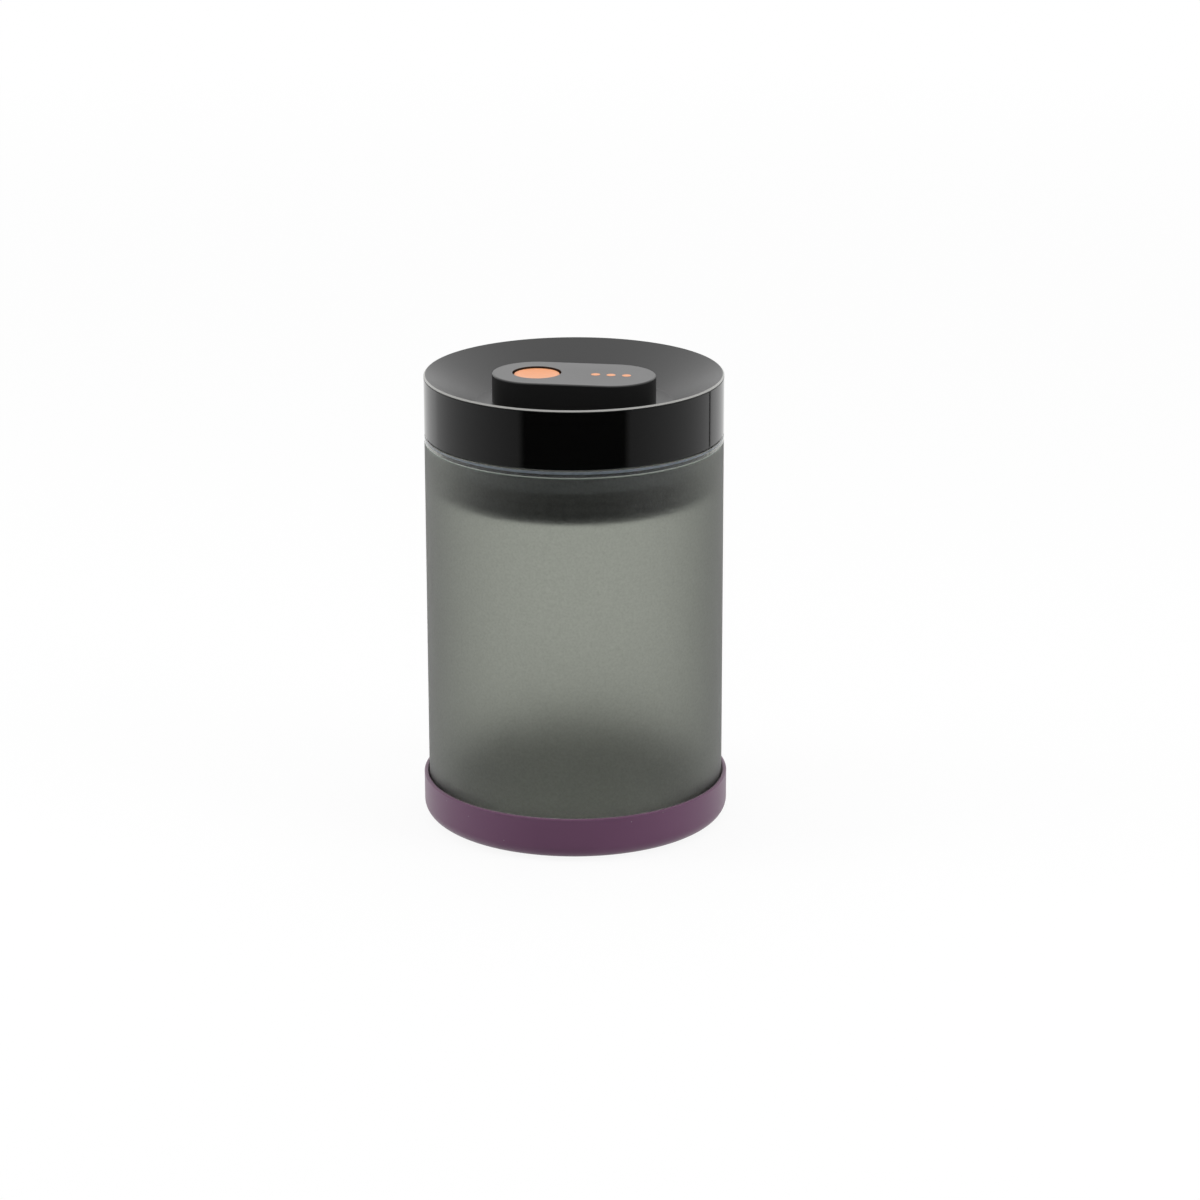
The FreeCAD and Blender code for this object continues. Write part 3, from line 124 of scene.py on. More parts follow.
# %% Camera
CAMERA_PLACE = Vector((203.7, -1243.0, 472.95)) * MM
CAMERA_TURN, CAMERA_TILT, CAMERA_ROLL = (math.radians(angle) for angle in (-8.919, 17.531, 0.113))
CAMERA_LENS, CAMERA_SENSOR = 117.06, 36.0


def make_camera():
    ahead = Vector((math.sin(CAMERA_TURN) * math.cos(CAMERA_TILT),
                    math.cos(CAMERA_TURN) * math.cos(CAMERA_TILT), -math.sin(CAMERA_TILT)))
    level = Vector((math.cos(CAMERA_TURN), -math.sin(CAMERA_TURN), 0))
    right = math.cos(CAMERA_ROLL) * level - math.sin(CAMERA_ROLL) * level.cross(ahead)
    camera = bpy.data.objects.new("camera", bpy.data.cameras.new("camera"))
    camera.data.lens = CAMERA_LENS
    camera.data.sensor_width = CAMERA_SENSOR
    camera.matrix_world = Matrix.Translation(CAMERA_PLACE) @ Matrix(
        (right, right.cross(ahead), -ahead)).transposed().to_4x4()
    bpy.context.scene.collection.objects.link(camera)
    bpy.context.scene.camera = camera
    return camera


camera = make_camera()
bpy.context.scene.view_settings.view_transform = "Standard"
print("camera at", [round(value, 3) for value in camera.location], "lens", camera.data.lens, "mm")

# %% [markdown]
# ## The studio
# The object stands in a white studio. Gloss shows what is round it: a lit white sheet behind, grey walls that
# brighten towards it, and a dark room in front, which is why the skirt of the lid is black in the middle and
# pale at its edges. The right wall has a narrow dark seam, which draws a fine upright line on the skirt.
# Planes could stand there, but they would shade the object too, so the world holds that room and shows it to
# gloss alone. What the camera and the glass look at directly is plain white.

# %% World
FRONT = Vector((CAMERA_PLACE.x, CAMERA_PLACE.y, 0)).normalized()
RIGHT = Vector((-FRONT.y, FRONT.x, 0))
DARK_EDGE, SEAM_PLACE, BACK_EDGE = (math.cos(math.radians(angle)) for angle in (41, 127.5, 131))
EDGE_SOFTNESS, SEAM_HALF = 0.03, 0.016
SIDE_NEAR, SIDE_FAR, SEAM_LEVEL = 0.27, 0.85, 0.1
BACK_LOW, BACK_HIGH, BACK_RISE = 1.0, 1.4, 0.12
CEILING_LEVEL, CEILING_START, CEILING_FULL = 1.6, 0.45, 0.75
AMBIENT_LEVEL, SEEN_LEVEL = 0.6, 1.0


def looked_at(tree):
    """One where the camera or the glass looks, nought for light that only bounces."""
    rays = add(tree, "ShaderNodeLightPath").outputs
    return add(tree, "ShaderNodeMath", {
        0: rays["Is Camera Ray"], 1: rays["Is Transmission Ray"]}, operation="MAXIMUM")


def make_world():
    world = bpy.data.worlds.new("studio")
    world.use_nodes = True
    tree = world.node_tree
    tree.nodes.clear()
    way = add(tree, "ShaderNodeTexCoord").outputs["Generated"]
    height = add(tree, "ShaderNodeSeparateXYZ", {"Vector": way}).outputs["Z"]
    flat = add(tree, "ShaderNodeVectorMath", {0: way, 1: (1, 1, 0)}, operation="MULTIPLY")
    level_way = add(tree, "ShaderNodeVectorMath", {0: flat}, operation="NORMALIZE")
    facing, aside = (add(tree, "ShaderNodeVectorMath", {0: level_way, 1: axis}, operation="DOT_PRODUCT")
                     for axis in (FRONT, RIGHT))
    side = add(tree, "ShaderNodeMapRange", {
        "Value": facing, "From Min": BACK_EDGE, "From Max": DARK_EDGE,
        "To Min": SIDE_FAR, "To Max": SIDE_NEAR})
    back = add(tree, "ShaderNodeMapRange", {
        "Value": height, "From Max": BACK_RISE, "To Min": BACK_LOW, "To Max": BACK_HIGH})
    behind, before = (add(tree, "ShaderNodeMapRange", {
        "Value": facing, "From Min": edge - EDGE_SOFTNESS, "From Max": edge + EDGE_SOFTNESS,
        "To Min": 1.0, "To Max": 0.0}) for edge in (BACK_EDGE, DARK_EDGE))
    walls = add(tree, "ShaderNodeMix", {"Factor": behind, "A": side, "B": back})
    lit_room = add(tree, "ShaderNodeMath", {0: walls, 1: before}, operation="MULTIPLY")
    on_right = add(tree, "ShaderNodeMath", {0: aside, 1: 0.0}, operation="GREATER_THAN")
    at_seam = add(tree, "ShaderNodeMath", {0: facing, 1: SEAM_PLACE, 2: SEAM_HALF}, operation="COMPARE")
    seam = add(tree, "ShaderNodeMath", {0: at_seam, 1: on_right}, operation="MULTIPLY")
    room = add(tree, "ShaderNodeMix", {"Factor": seam, "A": lit_room, "B": SEAM_LEVEL})
    overhead = add(tree, "ShaderNodeMapRange", {
        "Value": height, "From Min": CEILING_START, "From Max": CEILING_FULL})
    gloss_room = add(tree, "ShaderNodeMix", {"Factor": overhead, "A": room, "B": CEILING_LEVEL})
    plain = add(tree, "ShaderNodeMix", {"Factor": looked_at(tree), "A": AMBIENT_LEVEL, "B": SEEN_LEVEL})
    mirrored = add(tree, "ShaderNodeLightPath").outputs["Is Glossy Ray"]
    level = add(tree, "ShaderNodeMix", {"Factor": mirrored, "A": plain, "B": gloss_room})
    background = add(tree, "ShaderNodeBackground", {"Color": linear(WHITE), "Strength": level})
    add(tree, "ShaderNodeOutputWorld", {"Surface": background})
    return world


bpy.context.scene.world = make_world()
print("world:", len(bpy.context.scene.world.node_tree.nodes), "nodes")

# %% [markdown]
# ## Lamps
# One large soft lamp hangs over the object and two soft lamps stand at its sides, as in a product tent. Gloss
# doesn't show them, because the world already holds the room that it should show.

# %% Lamps
AIM = Vector((0, 0, 0.08))
# Place and side in metres, power in watts.
LAMPS = {
    "overhead_lamp": (Vector((0.0, 0.1, 1.0)), 0.9, 3.5),
    "left_lamp": (Vector((-1.0, -0.25, 0.5)), 0.6, 5.5),
    "right_lamp": (Vector((1.0, -0.25, 0.5)), 0.6, 5.5),
}


def make_lamp(name, place, side, power):
    lamp = bpy.data.lights.new(name, "AREA")
    lamp.size = side
    lamp.energy = power
    holder = bpy.data.objects.new(name, lamp)
    holder.location = place
    holder.rotation_euler = (AIM - place).to_track_quat("-Z", "Y").to_euler()
    holder.visible_glossy = False
    bpy.context.scene.collection.objects.link(holder)


for lamp_name, lamp_settings in LAMPS.items():
    make_lamp(lamp_name, *lamp_settings)
print("lamps:", ", ".join(LAMPS))

# %% [markdown]
# ## The floor
# The floor is plain white. The camera and the glass see it nearly shadowless, as on an overlit sheet that
# fades to white far off, except under the jar, where only the true light that gets there shows. More lamps
# could bleach it, but they would bleach the object too, so its finish adds the light for those two alone. It
# is left out of mirror images, as the lamps are.

# %% Floor
FLOOR_SIDE, FLOOR_TINT, FLOOR_LIFT = 6.0, "#ededed", 0.9
FADE_START, FADE_END = 0.3, 1.5
SHADE_INNER_MM, SHADE_OUTER_MM = 42.0, 45.0


def new_finish(name):
    """A new material, its empty tree and the Object coordinates of the piece that wears it."""
    material = bpy.data.materials.new(name)
    material.use_nodes = True
    material.node_tree.nodes.clear()
    place = add(material.node_tree, "ShaderNodeTexCoord").outputs["Object"]
    return material, material.node_tree, place


def make_floor_finish():
    material, tree, place = new_finish("white_studio_floor")
    away = add(tree, "ShaderNodeVectorMath", {0: place}, operation="LENGTH")
    beside = add(tree, "ShaderNodeMapRange", {
        "Value": away, "From Min": SHADE_INNER_MM * MM, "From Max": SHADE_OUTER_MM * MM,
        "To Max": FLOOR_LIFT})
    far_off = add(tree, "ShaderNodeMapRange", {
        "Value": away, "From Min": FADE_START, "From Max": FADE_END, "To Max": 1 - FLOOR_LIFT})
    lifted = add(tree, "ShaderNodeMath", {0: beside, 1: far_off}, operation="ADD")
    share = add(tree, "ShaderNodeMath", {0: looked_at(tree), 1: lifted}, operation="MULTIPLY")
    paper = add(tree, "ShaderNodeBsdfDiffuse", {"Color": linear(FLOOR_TINT)})
    lift = add(tree, "ShaderNodeEmission", {"Color": linear(WHITE), "Strength": SEEN_LEVEL})
    both = add(tree, "ShaderNodeMixShader", {0: share, 1: paper, 2: lift})
    add(tree, "ShaderNodeOutputMaterial", {"Surface": both})
    return material


def make_floor():
    half = FLOOR_SIDE / 2
    corners = [(-half, -half, 0), (half, -half, 0), (half, half, 0), (-half, half, 0)]
    mesh = bpy.data.meshes.new("floor")
    mesh.from_pydata(corners, [], [(0, 1, 2, 3)])
    mesh.materials.append(make_floor_finish())
    floor = bpy.data.objects.new("floor", mesh)
    floor.visible_glossy = False
    bpy.context.scene.collection.objects.link(floor)


make_floor()
print("floor:", FLOOR_SIDE, "metres wide")

# %% [markdown]
# ## Finishes
# Each material starts from the real one and how its surface was made. They all read Object coordinates,
# which are metres in the frame, so a pattern of 0.3 mm is 0.3 mm on every piece. One function turns the
# width of a grain to the scale of a noise.

# %% Grain
GRAIN_MM, GRAIN_DETAIL = 0.25, 2.0


def per_metre(size_mm):
    """The scale of a noise whose grains are about this many millimetres wide."""
    return 1 / (size_mm * MM)


print("a grain of", GRAIN_MM, "mm is a noise of scale", per_metre(GRAIN_MM))

# %% [markdown]
# ### Moulded plastics and silicones
# A moulded surface copies its mould: a spark-eroded mould gives satin with a fine even grain, a polished one
# gives gloss with a slow ripple, and silicone is matt and picks up dust. Each could have a tree of its own,
# but one recipe serves them all: a base colour that drifts a little, a roughness that varies with handling,
# and a bump of the mould's grain.

# %% Moulded finish
PLASTIC_IOR, SILICONE_IOR, ACETAL_IOR = 1.5, 1.41, 1.48
DRIFT_MM, DRIFT_DETAIL, GRAIN_STRENGTH = 18, 3.0, 0.5
DUST_TINT, DUST_PITCH_MM, DUST_CORE, DUST_EDGE = "#d9d4d6", 4.0, 0.03, 0.05


def moulded_finish(name, colour, shade, roughness, spread, grain_mm, depth_mm,
                   ior=PLASTIC_IOR, dust_share=0.0, sheen=0.0):
    material, tree, place = new_finish(name)
    drift = add(tree, "ShaderNodeTexNoise", {
        "Vector": place, "Scale": per_metre(DRIFT_MM), "Detail": DRIFT_DETAIL})
    base = add(tree, "ShaderNodeMix", {
        "Factor": drift, "A": linear(colour), "B": linear(shade)}, data_type="RGBA")
    if dust_share:
        flecks = add(tree, "ShaderNodeTexVoronoi", {"Vector": place, "Scale": per_metre(DUST_PITCH_MM)})
        fleck = add(tree, "ShaderNodeMapRange", {
            "Value": flecks, "From Min": DUST_CORE, "From Max": DUST_EDGE,
            "To Min": dust_share, "To Max": 0.0})
        base = add(tree, "ShaderNodeMix", {
            "Factor": fleck, "A": base, "B": linear(DUST_TINT)}, data_type="RGBA")
    rough = add(tree, "ShaderNodeMapRange", {
        "Value": drift, "To Min": roughness - spread, "To Max": roughness + spread})
    grain = add(tree, "ShaderNodeTexNoise", {
        "Vector": place, "Scale": per_metre(grain_mm), "Detail": GRAIN_DETAIL})
    bump = add(tree, "ShaderNodeBump", {
        "Height": grain, "Distance": depth_mm * MM, "Strength": GRAIN_STRENGTH})
    shader = add(tree, "ShaderNodeBsdfPrincipled", {
        "Base Color": base, "Roughness": rough, "Normal": bump, "IOR": ior, "Sheen Weight": sheen})
    add(tree, "ShaderNodeOutputMaterial", {"Surface": shader})
    return material


MOULDED = {
    # ABS from a polished mould mirrors the room, and from a spark-eroded one it is an even satin.
    "gloss_black": moulded_finish("polished_black_abs", "#050505", "#070707", 0.06, 0.015, 6.0, 0.004),
    "satin_black": moulded_finish("satin_black_abs", "#121212", "#161616", 0.36, 0.03, GRAIN_MM, 0.012),
    # Polypropylene is a little waxy.
    "plug_plastic": moulded_finish("grey_polypropylene", "#5f626a", "#656870", 0.42, 0.04, GRAIN_MM, 0.01),
    # Silicone is matt, and the boot, which is handled, has flecks of dust and a soft sheen.
    "seal_silicone": moulded_finish("black_silicone", "#242528", "#2a2b2e", 0.5, 0.05, GRAIN_MM, 0.01,
                                    SILICONE_IOR),
    "boot_silicone": moulded_finish("plum_silicone", "#573450", "#5d3955", 0.5, 0.04, GRAIN_MM, 0.015,
                                    SILICONE_IOR, dust_share=0.25, sheen=0.25),
    "button_orange": moulded_finish("satin_orange_abs", "#d3834a", "#d8894f", 0.38, 0.03, GRAIN_MM, 0.01),
    "pale_silicone": moulded_finish("pale_silicone", "#d6d6cf", "#dededa", 0.5, 0.05, GRAIN_MM, 0.01,
                                    SILICONE_IOR),
    # Acetal is off-white and smooth.
    "pump_plastic": moulded_finish("white_acetal", "#e4e4df", "#ebebe8", 0.35, 0.04, GRAIN_MM, 0.008,
                                   ACETAL_IOR),
    # Epoxy is dull and gritty, solder mask is slick and a little uneven, a shrink sleeve has long ripples.
    "chip_epoxy": moulded_finish("black_epoxy", "#1a1a1b", "#202022", 0.55, 0.05, 0.15, 0.02),
    "board_laminate": moulded_finish("green_solder_mask", "#0f5136", "#136044", 0.3, 0.05, 0.8, 0.01),
    "cell_sleeve": moulded_finish("blue_shrink_sleeve", "#1f5fae", "#2366b8", 0.28, 0.05, 3.0, 0.02),
    # Pressed felt is rough, with a fuzz that catches the light.
    "filter_felt": moulded_finish("pressed_felt", "#d8d5cb", "#e6e3da", 0.9, 0.05, 0.3, 0.1, sheen=0.3),
}
print("moulded finishes:", ", ".join(sorted(MOULDED)))

# %% [markdown]
# ### Metals
# Zinc plate is bluish and blotchy, nickel plate is warmer, ground steel is finer, and the winding is copper
# wire under clear enamel. Its turns could be modelled one by one, but they are hidden in the plug, so they
# are a bump of fine waves along the coil. A metal keeps the default IOR: its colour is its reflection.

# %% Metal finish
BLOTCH_MM, BLOTCH_DETAIL, BLOTCH_SPREAD = 2.5, 4.0, 0.2
METAL_DEPTH_MM, METAL_STRENGTH = 0.004, 0.4
WAVE_RATE = 20  # at a scale of one, Blender's wave pattern turns through this many radians in a metre


def metal_finish(name, colour, shade, roughness, grain_mm, coat=0.0, wire_mm=0.0):
    material, tree, place = new_finish(name)
    blotch = add(tree, "ShaderNodeTexNoise", {
        "Vector": place, "Scale": per_metre(BLOTCH_MM), "Detail": BLOTCH_DETAIL})
    tint = add(tree, "ShaderNodeMix", {
        "Factor": blotch, "A": linear(colour), "B": linear(shade)}, data_type="RGBA")
    rough = add(tree, "ShaderNodeMapRange", {
        "Value": blotch, "To Min": roughness * (1 - BLOTCH_SPREAD),
        "To Max": roughness * (1 + BLOTCH_SPREAD)})
    grain = add(tree, "ShaderNodeTexNoise", {
        "Vector": place, "Scale": per_metre(grain_mm), "Detail": GRAIN_DETAIL})
    bump = add(tree, "ShaderNodeBump", {
        "Height": grain, "Distance": METAL_DEPTH_MM * MM, "Strength": METAL_STRENGTH})
    if wire_mm:
        turns = add(tree, "ShaderNodeTexWave", {
            "Vector": place, "Scale": math.tau / WAVE_RATE * per_metre(wire_mm)}, bands_direction="Z")
        bump = add(tree, "ShaderNodeBump", {
            "Height": turns.outputs["Fac"], "Distance": wire_mm / 2 * MM, "Normal": bump})
    shader = add(tree, "ShaderNodeBsdfPrincipled", {
        "Base Color": tint, "Metallic": 1.0, "Roughness": rough, "Normal": bump, "Coat Weight": coat})
    add(tree, "ShaderNodeOutputMaterial", {"Surface": shader})
    return material


METALS = {
    "zinc_steel": metal_finish("zinc_plated_steel", "#b4b7bc", "#c8cacd", 0.32, 0.2),
    "bright_steel": metal_finish("ground_steel", "#c9c9c8", "#d6d6d5", 0.2, 0.1),
    "socket_steel": metal_finish("nickel_plated_steel", "#bdbab2", "#cbc8c0", 0.25, 0.2),
    "copper_winding": metal_finish("enamelled_copper", "#b4633a", "#c47448", 0.3, 0.2, coat=0.6, wire_mm=0.3),
}
print("metals:", ", ".join(sorted(METALS)))

# %% [markdown]
# ### Frosted smoke glass
# The jar is clear glass under a frosted smoke coat that ends in a neat line below the lip. Its faces could
# be given two materials, but the line would then have to follow the mesh, so one material reads where it is:
# rough and tinted outside below the line and under the foot, smooth and clear elsewhere, and rough, opaque
# and pale bluish white inside the mouth, a painted highlight for the bright band of the lip. Part of the tint
# is in the glass itself, so the wall darkens where it is seen edge on. The coat stands a hair proud of the
# glass and ends in a pale bead, which is partly a painted highlight along its edge. Its speckle and grain are
# drawn coarser than the real ones, so that they show.

# %% Glass finish
GLASS_TINT, GLASS_DENSITY, GLASS_IOR = "#7d807a", 130.0, 1.52
CLEAR_TINT, POLISH_ROUGHNESS = "#fcfcfa", 0.02
OUTSIDE_MM, UNDERSIDE_MM = 48.6, 7.0
FROST_LINE_MM, FROST_FADE_MM = 132.1, 0.25
FROST_ROUGHNESS, FROST_SPREAD = 0.5, 0.1
COAT_TINT, COAT_SPECK, COAT_SPECK_MM, COAT_SPECK_DETAIL = "#b4b8af", "#f0f4eb", 0.8, 3.0
COAT_EDGE_MM, COAT_GRAIN_MM, COAT_GRAIN_DEPTH_MM = 0.15, 0.5, 0.02
# The bead's tint and clearness make a pale band that is partly a painted highlight along the coat's edge.
BEAD_HIGHLIGHT_TINT, BEAD_HIGHLIGHT_MM, BEAD_HIGHLIGHT_CLEARNESS = "#8b988d", 0.45, 0.4
# The mouth is pale bluish white and opaque, a painted highlight for the bright band of the lip under the lid.
MOUTH_HIGHLIGHT_TINT, MOUTH_ROUGHNESS, MOUTH_LINE_MM, MOUTH_HIGHLIGHT_CLEARNESS = "#dde8fa", 0.5, 132.5, 0.0


def glass_zones(tree, place):
    """Where the jar has its frosted coat, the bead that ends it and the pale mouth, both partly painted
    highlights, each 0 to 1.
    """
    split = add(tree, "ShaderNodeSeparateXYZ", {"Vector": place}).outputs
    height = split["Z"]
    flat = add(tree, "ShaderNodeCombineXYZ", {"X": split["X"], "Y": split["Y"]})
    radius = add(tree, "ShaderNodeVectorMath", {0: flat}, operation="LENGTH")
    round_it = add(tree, "ShaderNodeMath", {0: radius, 1: OUTSIDE_MM * MM}, operation="GREATER_THAN")
    under_it = add(tree, "ShaderNodeMath", {0: height, 1: UNDERSIDE_MM * MM}, operation="LESS_THAN")
    outside = add(tree, "ShaderNodeMath", {0: round_it, 1: under_it}, operation="MAXIMUM")
    below = add(tree, "ShaderNodeMapRange", {
        "Value": height, "From Min": (FROST_LINE_MM - FROST_FADE_MM) * MM, "From Max": FROST_LINE_MM * MM,
        "To Min": 1.0, "To Max": 0.0})
    frost = add(tree, "ShaderNodeMath", {0: outside, 1: below}, operation="MULTIPLY")
    near_line, above = (add(tree, "ShaderNodeMath", {0: height, 1: line_mm * MM}, operation="GREATER_THAN")
                        for line_mm in (FROST_LINE_MM - BEAD_HIGHLIGHT_MM, MOUTH_LINE_MM))
    bead_highlight = add(tree, "ShaderNodeMath", {0: frost, 1: near_line}, operation="MULTIPLY")
    inside = add(tree, "ShaderNodeMath", {0: 1.0, 1: outside}, operation="SUBTRACT")
    mouth_highlight = add(tree, "ShaderNodeMath", {0: inside, 1: above}, operation="MULTIPLY")
    return frost, bead_highlight, mouth_highlight


def make_glass():
    material, tree, place = new_finish("frosted_smoke_glass")
    frost, bead_highlight, mouth_highlight = glass_zones(tree, place)
    etch = add(tree, "ShaderNodeTexNoise", {
        "Vector": place, "Scale": per_metre(COAT_SPECK_MM), "Detail": COAT_SPECK_DETAIL})
    frost_rough = add(tree, "ShaderNodeMapRange", {
        "Value": etch, "To Min": FROST_ROUGHNESS * (1 - FROST_SPREAD),
        "To Max": FROST_ROUGHNESS * (1 + FROST_SPREAD)})
    bare_rough = add(tree, "ShaderNodeMix", {
        "Factor": mouth_highlight, "A": POLISH_ROUGHNESS, "B": MOUTH_ROUGHNESS})
    rough = add(tree, "ShaderNodeMix", {"Factor": frost, "A": bare_rough, "B": frost_rough})
    # Painted highlight: the pale bluish tint inside the mouth.
    bare = add(tree, "ShaderNodeMix", {
        "Factor": mouth_highlight, "A": linear(CLEAR_TINT), "B": linear(MOUTH_HIGHLIGHT_TINT)}, data_type="RGBA")
    smoke_coat = add(tree, "ShaderNodeMix", {
        "Factor": etch, "A": linear(COAT_TINT), "B": linear(COAT_SPECK)}, data_type="RGBA")
    coat = add(tree, "ShaderNodeMix", {"Factor": frost, "A": bare, "B": smoke_coat}, data_type="RGBA")
    # Painted highlight, partly: the pale tint of the bead at the coat's edge.
    tint = add(tree, "ShaderNodeMix", {"Factor": bead_highlight, "A": coat, "B": linear(BEAD_HIGHLIGHT_TINT)}, data_type="RGBA")
    # Painted highlight: the mouth is made opaque, so its pale tint shows.
    mouth_clear = add(tree, "ShaderNodeMix", {"Factor": mouth_highlight, "A": 1.0, "B": MOUTH_HIGHLIGHT_CLEARNESS})
    # Painted highlight, partly: the bead is made less clear, so its pale tint shows.
    clear = add(tree, "ShaderNodeMix", {"Factor": bead_highlight, "A": mouth_clear, "B": BEAD_HIGHLIGHT_CLEARNESS})
    edge = add(tree, "ShaderNodeBump", {"Height": frost, "Distance": COAT_EDGE_MM * MM})
    grit = add(tree, "ShaderNodeTexNoise", {
        "Vector": place, "Scale": per_metre(COAT_GRAIN_MM), "Detail": GRAIN_DETAIL})
    grain = add(tree, "ShaderNodeBump", {
        "Height": grit, "Strength": frost, "Distance": COAT_GRAIN_DEPTH_MM * MM, "Normal": edge})
    shader = add(tree, "ShaderNodeBsdfPrincipled", {
        "Base Color": tint, "Roughness": rough, "IOR": GLASS_IOR, "Transmission Weight": clear,
        "Normal": grain})
    smoke = add(tree, "ShaderNodeVolumeAbsorption", {"Color": linear(GLASS_TINT), "Density": GLASS_DENSITY})
    add(tree, "ShaderNodeOutputMaterial", {"Surface": shader, "Volume": smoke})
    return material


FINISHES = {**MOULDED, **METALS, "frosted_glass": make_glass()}
# ABS on the rim's chamfer is painted pale grey, a painted highlight for the fine line round the lid.
FINISHES["bright_edge"] = moulded_finish("painted_rim_highlight", "#8a8a87", "#90908d", 0.3, 0.03, GRAIN_MM, 0.004)
print("finishes:", len(FINISHES))

# %% [markdown]
# ## Turned pieces
# The jar, the boot, the skirt, the button and the seal are all turned: an outline and an axis. The Screw
# modifier could turn an outline but wouldn't round its corners, so a Geometry Nodes tree does both steps. It
# rounds each corner by the radius that the corner carries, then sweeps the outline round a small circle about
# the axis, which is an exact turning.

# %% The turning tree
PATH_RADIUS, SEAM_DISTANCE = 1.0 * MM, 0.001 * MM


def new_tree(name, **inputs):
    """A Geometry Nodes tree that gives one piece, and the sockets that bring its inputs."""
    tree = bpy.data.node_groups.new(name, "GeometryNodeTree")
    for label, kind in inputs.items():
        tree.interface.new_socket(label.replace("_", " "), in_out="INPUT", socket_type="NodeSocket" + kind)
    tree.interface.new_socket("Piece", in_out="OUTPUT", socket_type="NodeSocketGeometry")
    return tree, add(tree, "NodeGroupInput").outputs


def make_turning_tree():
    tree, given = new_tree(
        "turned_piece", Outline="Geometry", Steps="Int", Corner_Steps="Int", Finish="Material")
    place = add(tree, "GeometryNodeInputPosition")
    split = add(tree, "ShaderNodeSeparateXYZ", {"Vector": place}).outputs
    reach = add(tree, "ShaderNodeMath", {0: split["X"], 1: PATH_RADIUS}, operation="SUBTRACT")
    drop = add(tree, "ShaderNodeMath", {0: split["Z"], 1: -1.0}, operation="MULTIPLY")
    section = add(tree, "ShaderNodeCombineXYZ", {"X": reach, "Y": drop})
    laid = add(tree, "GeometryNodeSetPosition", {"Geometry": given["Outline"], "Position": section})
    line = add(tree, "GeometryNodeMeshToCurve", {"Mesh": laid})
    rounding = add(tree, "GeometryNodeInputNamedAttribute", {"Name": "rounding"}, data_type="FLOAT")
    rounded = add(tree, "GeometryNodeFilletCurve", {
        "Curve": line, "Count": given["Corner Steps"], "Radius": rounding, "Limit Radius": True}, mode="POLY")
    path = add(tree, "GeometryNodeCurvePrimitiveCircle", {
        "Resolution": given["Steps"], "Radius": PATH_RADIUS})
    swept = add(tree, "GeometryNodeCurveToMesh", {"Curve": path, "Profile Curve": rounded})
    closed = add(tree, "GeometryNodeMergeByDistance", {"Geometry": swept, "Distance": SEAM_DISTANCE})
    real = add(tree, "GeometryNodeRealizeInstances", {"Geometry": closed})
    painted = add(tree, "GeometryNodeSetMaterial", {"Geometry": real, "Material": given["Finish"]})
    add(tree, "NodeGroupOutput", {"Piece": painted})
    return tree


TURNING = make_turning_tree()
print("turning tree:", len(TURNING.nodes), "nodes")

# %% [markdown]
# ### Plain meshes
# A piece could keep its modifiers, but marking its sharp edges needs a plain mesh. So what the modifiers make
# is taken over, its doubles are merged, its faces are turned outwards and its sharp edges are marked.
# Weighted Normal then shades it smooth between those, with the flat faces flat.

# %% Freezing a piece
MERGE_DISTANCE = 0.0005 * MM
TURNED_SHARP, CUT_SHARP = 35, 30


def plain_mesh(piece):
    """Turns what a piece's modifiers make into its own plain mesh."""
    mesh = bpy.data.meshes.new_from_object(piece.evaluated_get(bpy.context.evaluated_depsgraph_get()))
    piece.modifiers.clear()
    piece.data = mesh
    return mesh


def freeze(piece, sharp_degrees=TURNED_SHARP, turn_out=True):
    """Leaves a plain, closed mesh with outward faces, shaded smooth between its sharp edges."""
    mesh = plain_mesh(piece)
    shape = bmesh.new()
    shape.from_mesh(mesh)
    bmesh.ops.remove_doubles(shape, verts=shape.verts, dist=MERGE_DISTANCE)
    if turn_out:
        bmesh.ops.recalc_face_normals(shape, faces=shape.faces)
    shape.normal_update()
    for face in shape.faces:
        face.smooth = True
    for edge in shape.edges:
        edge.smooth = edge.calc_face_angle(math.pi) < math.radians(sharp_degrees)
    shape.to_mesh(mesh)
    shape.free()
    shading = piece.modifiers.new("shading", "WEIGHTED_NORMAL")
    shading.keep_sharp = True
    plain_mesh(piece)
    return piece


print("edges are sharp from", TURNED_SHARP, "degrees on turned pieces and", CUT_SHARP, "on cut ones")

# %% [markdown]
# ### Turning and handing over
# One function turns a list of corners, and one hands a finished piece to the frame. The construction's boxes
# give the sizes, so a piece stays right where its node is.

# %% Turning a piece
TURN_STEPS, CORNER_STEPS = 256, 6


def new_piece(name, mesh):
    piece = bpy.data.objects.new(name, mesh)
    bpy.context.scene.collection.objects.link(piece)
    return piece


def set_inputs(modifier, values):
    """Fills the named inputs of a Geometry Nodes modifier, through their identifiers."""
    for item in modifier.node_group.interface.items_tree:
        if item.in_out == "INPUT" and item.name in values:
            modifier[item.identifier] = values[item.name]


def turned(name, corners, finish, steps=TURN_STEPS, corner_steps=CORNER_STEPS, closed=False):
    """A turned piece from corners of (radius, height, rounding) in millimetres."""
    mesh = bpy.data.meshes.new(name)
    count = len(corners)
    lines = [(place, (place + 1) % count) for place in range(count if closed else count - 1)]
    mesh.from_pydata([(radius * MM, 0, height * MM) for radius, height, _ in corners], lines, [])
    rounding = mesh.attributes.new("rounding", "FLOAT", "POINT")
    rounding.data.foreach_set("value", [corner * MM for _, _, corner in corners])
    piece = new_piece(name, mesh)
    modifier = piece.modifiers.new("turning", "NODES")
    modifier.node_group = TURNING
    set_inputs(modifier, {"Steps": steps, "Corner Steps": corner_steps, "Finish": finish})
    return freeze(piece)


def span(node):
    """Outer radius, bottom and top of a node that is turned about the jar's axis, in millimetres."""
    low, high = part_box(node)
    return high.x / MM, low.z / MM, high.z / MM


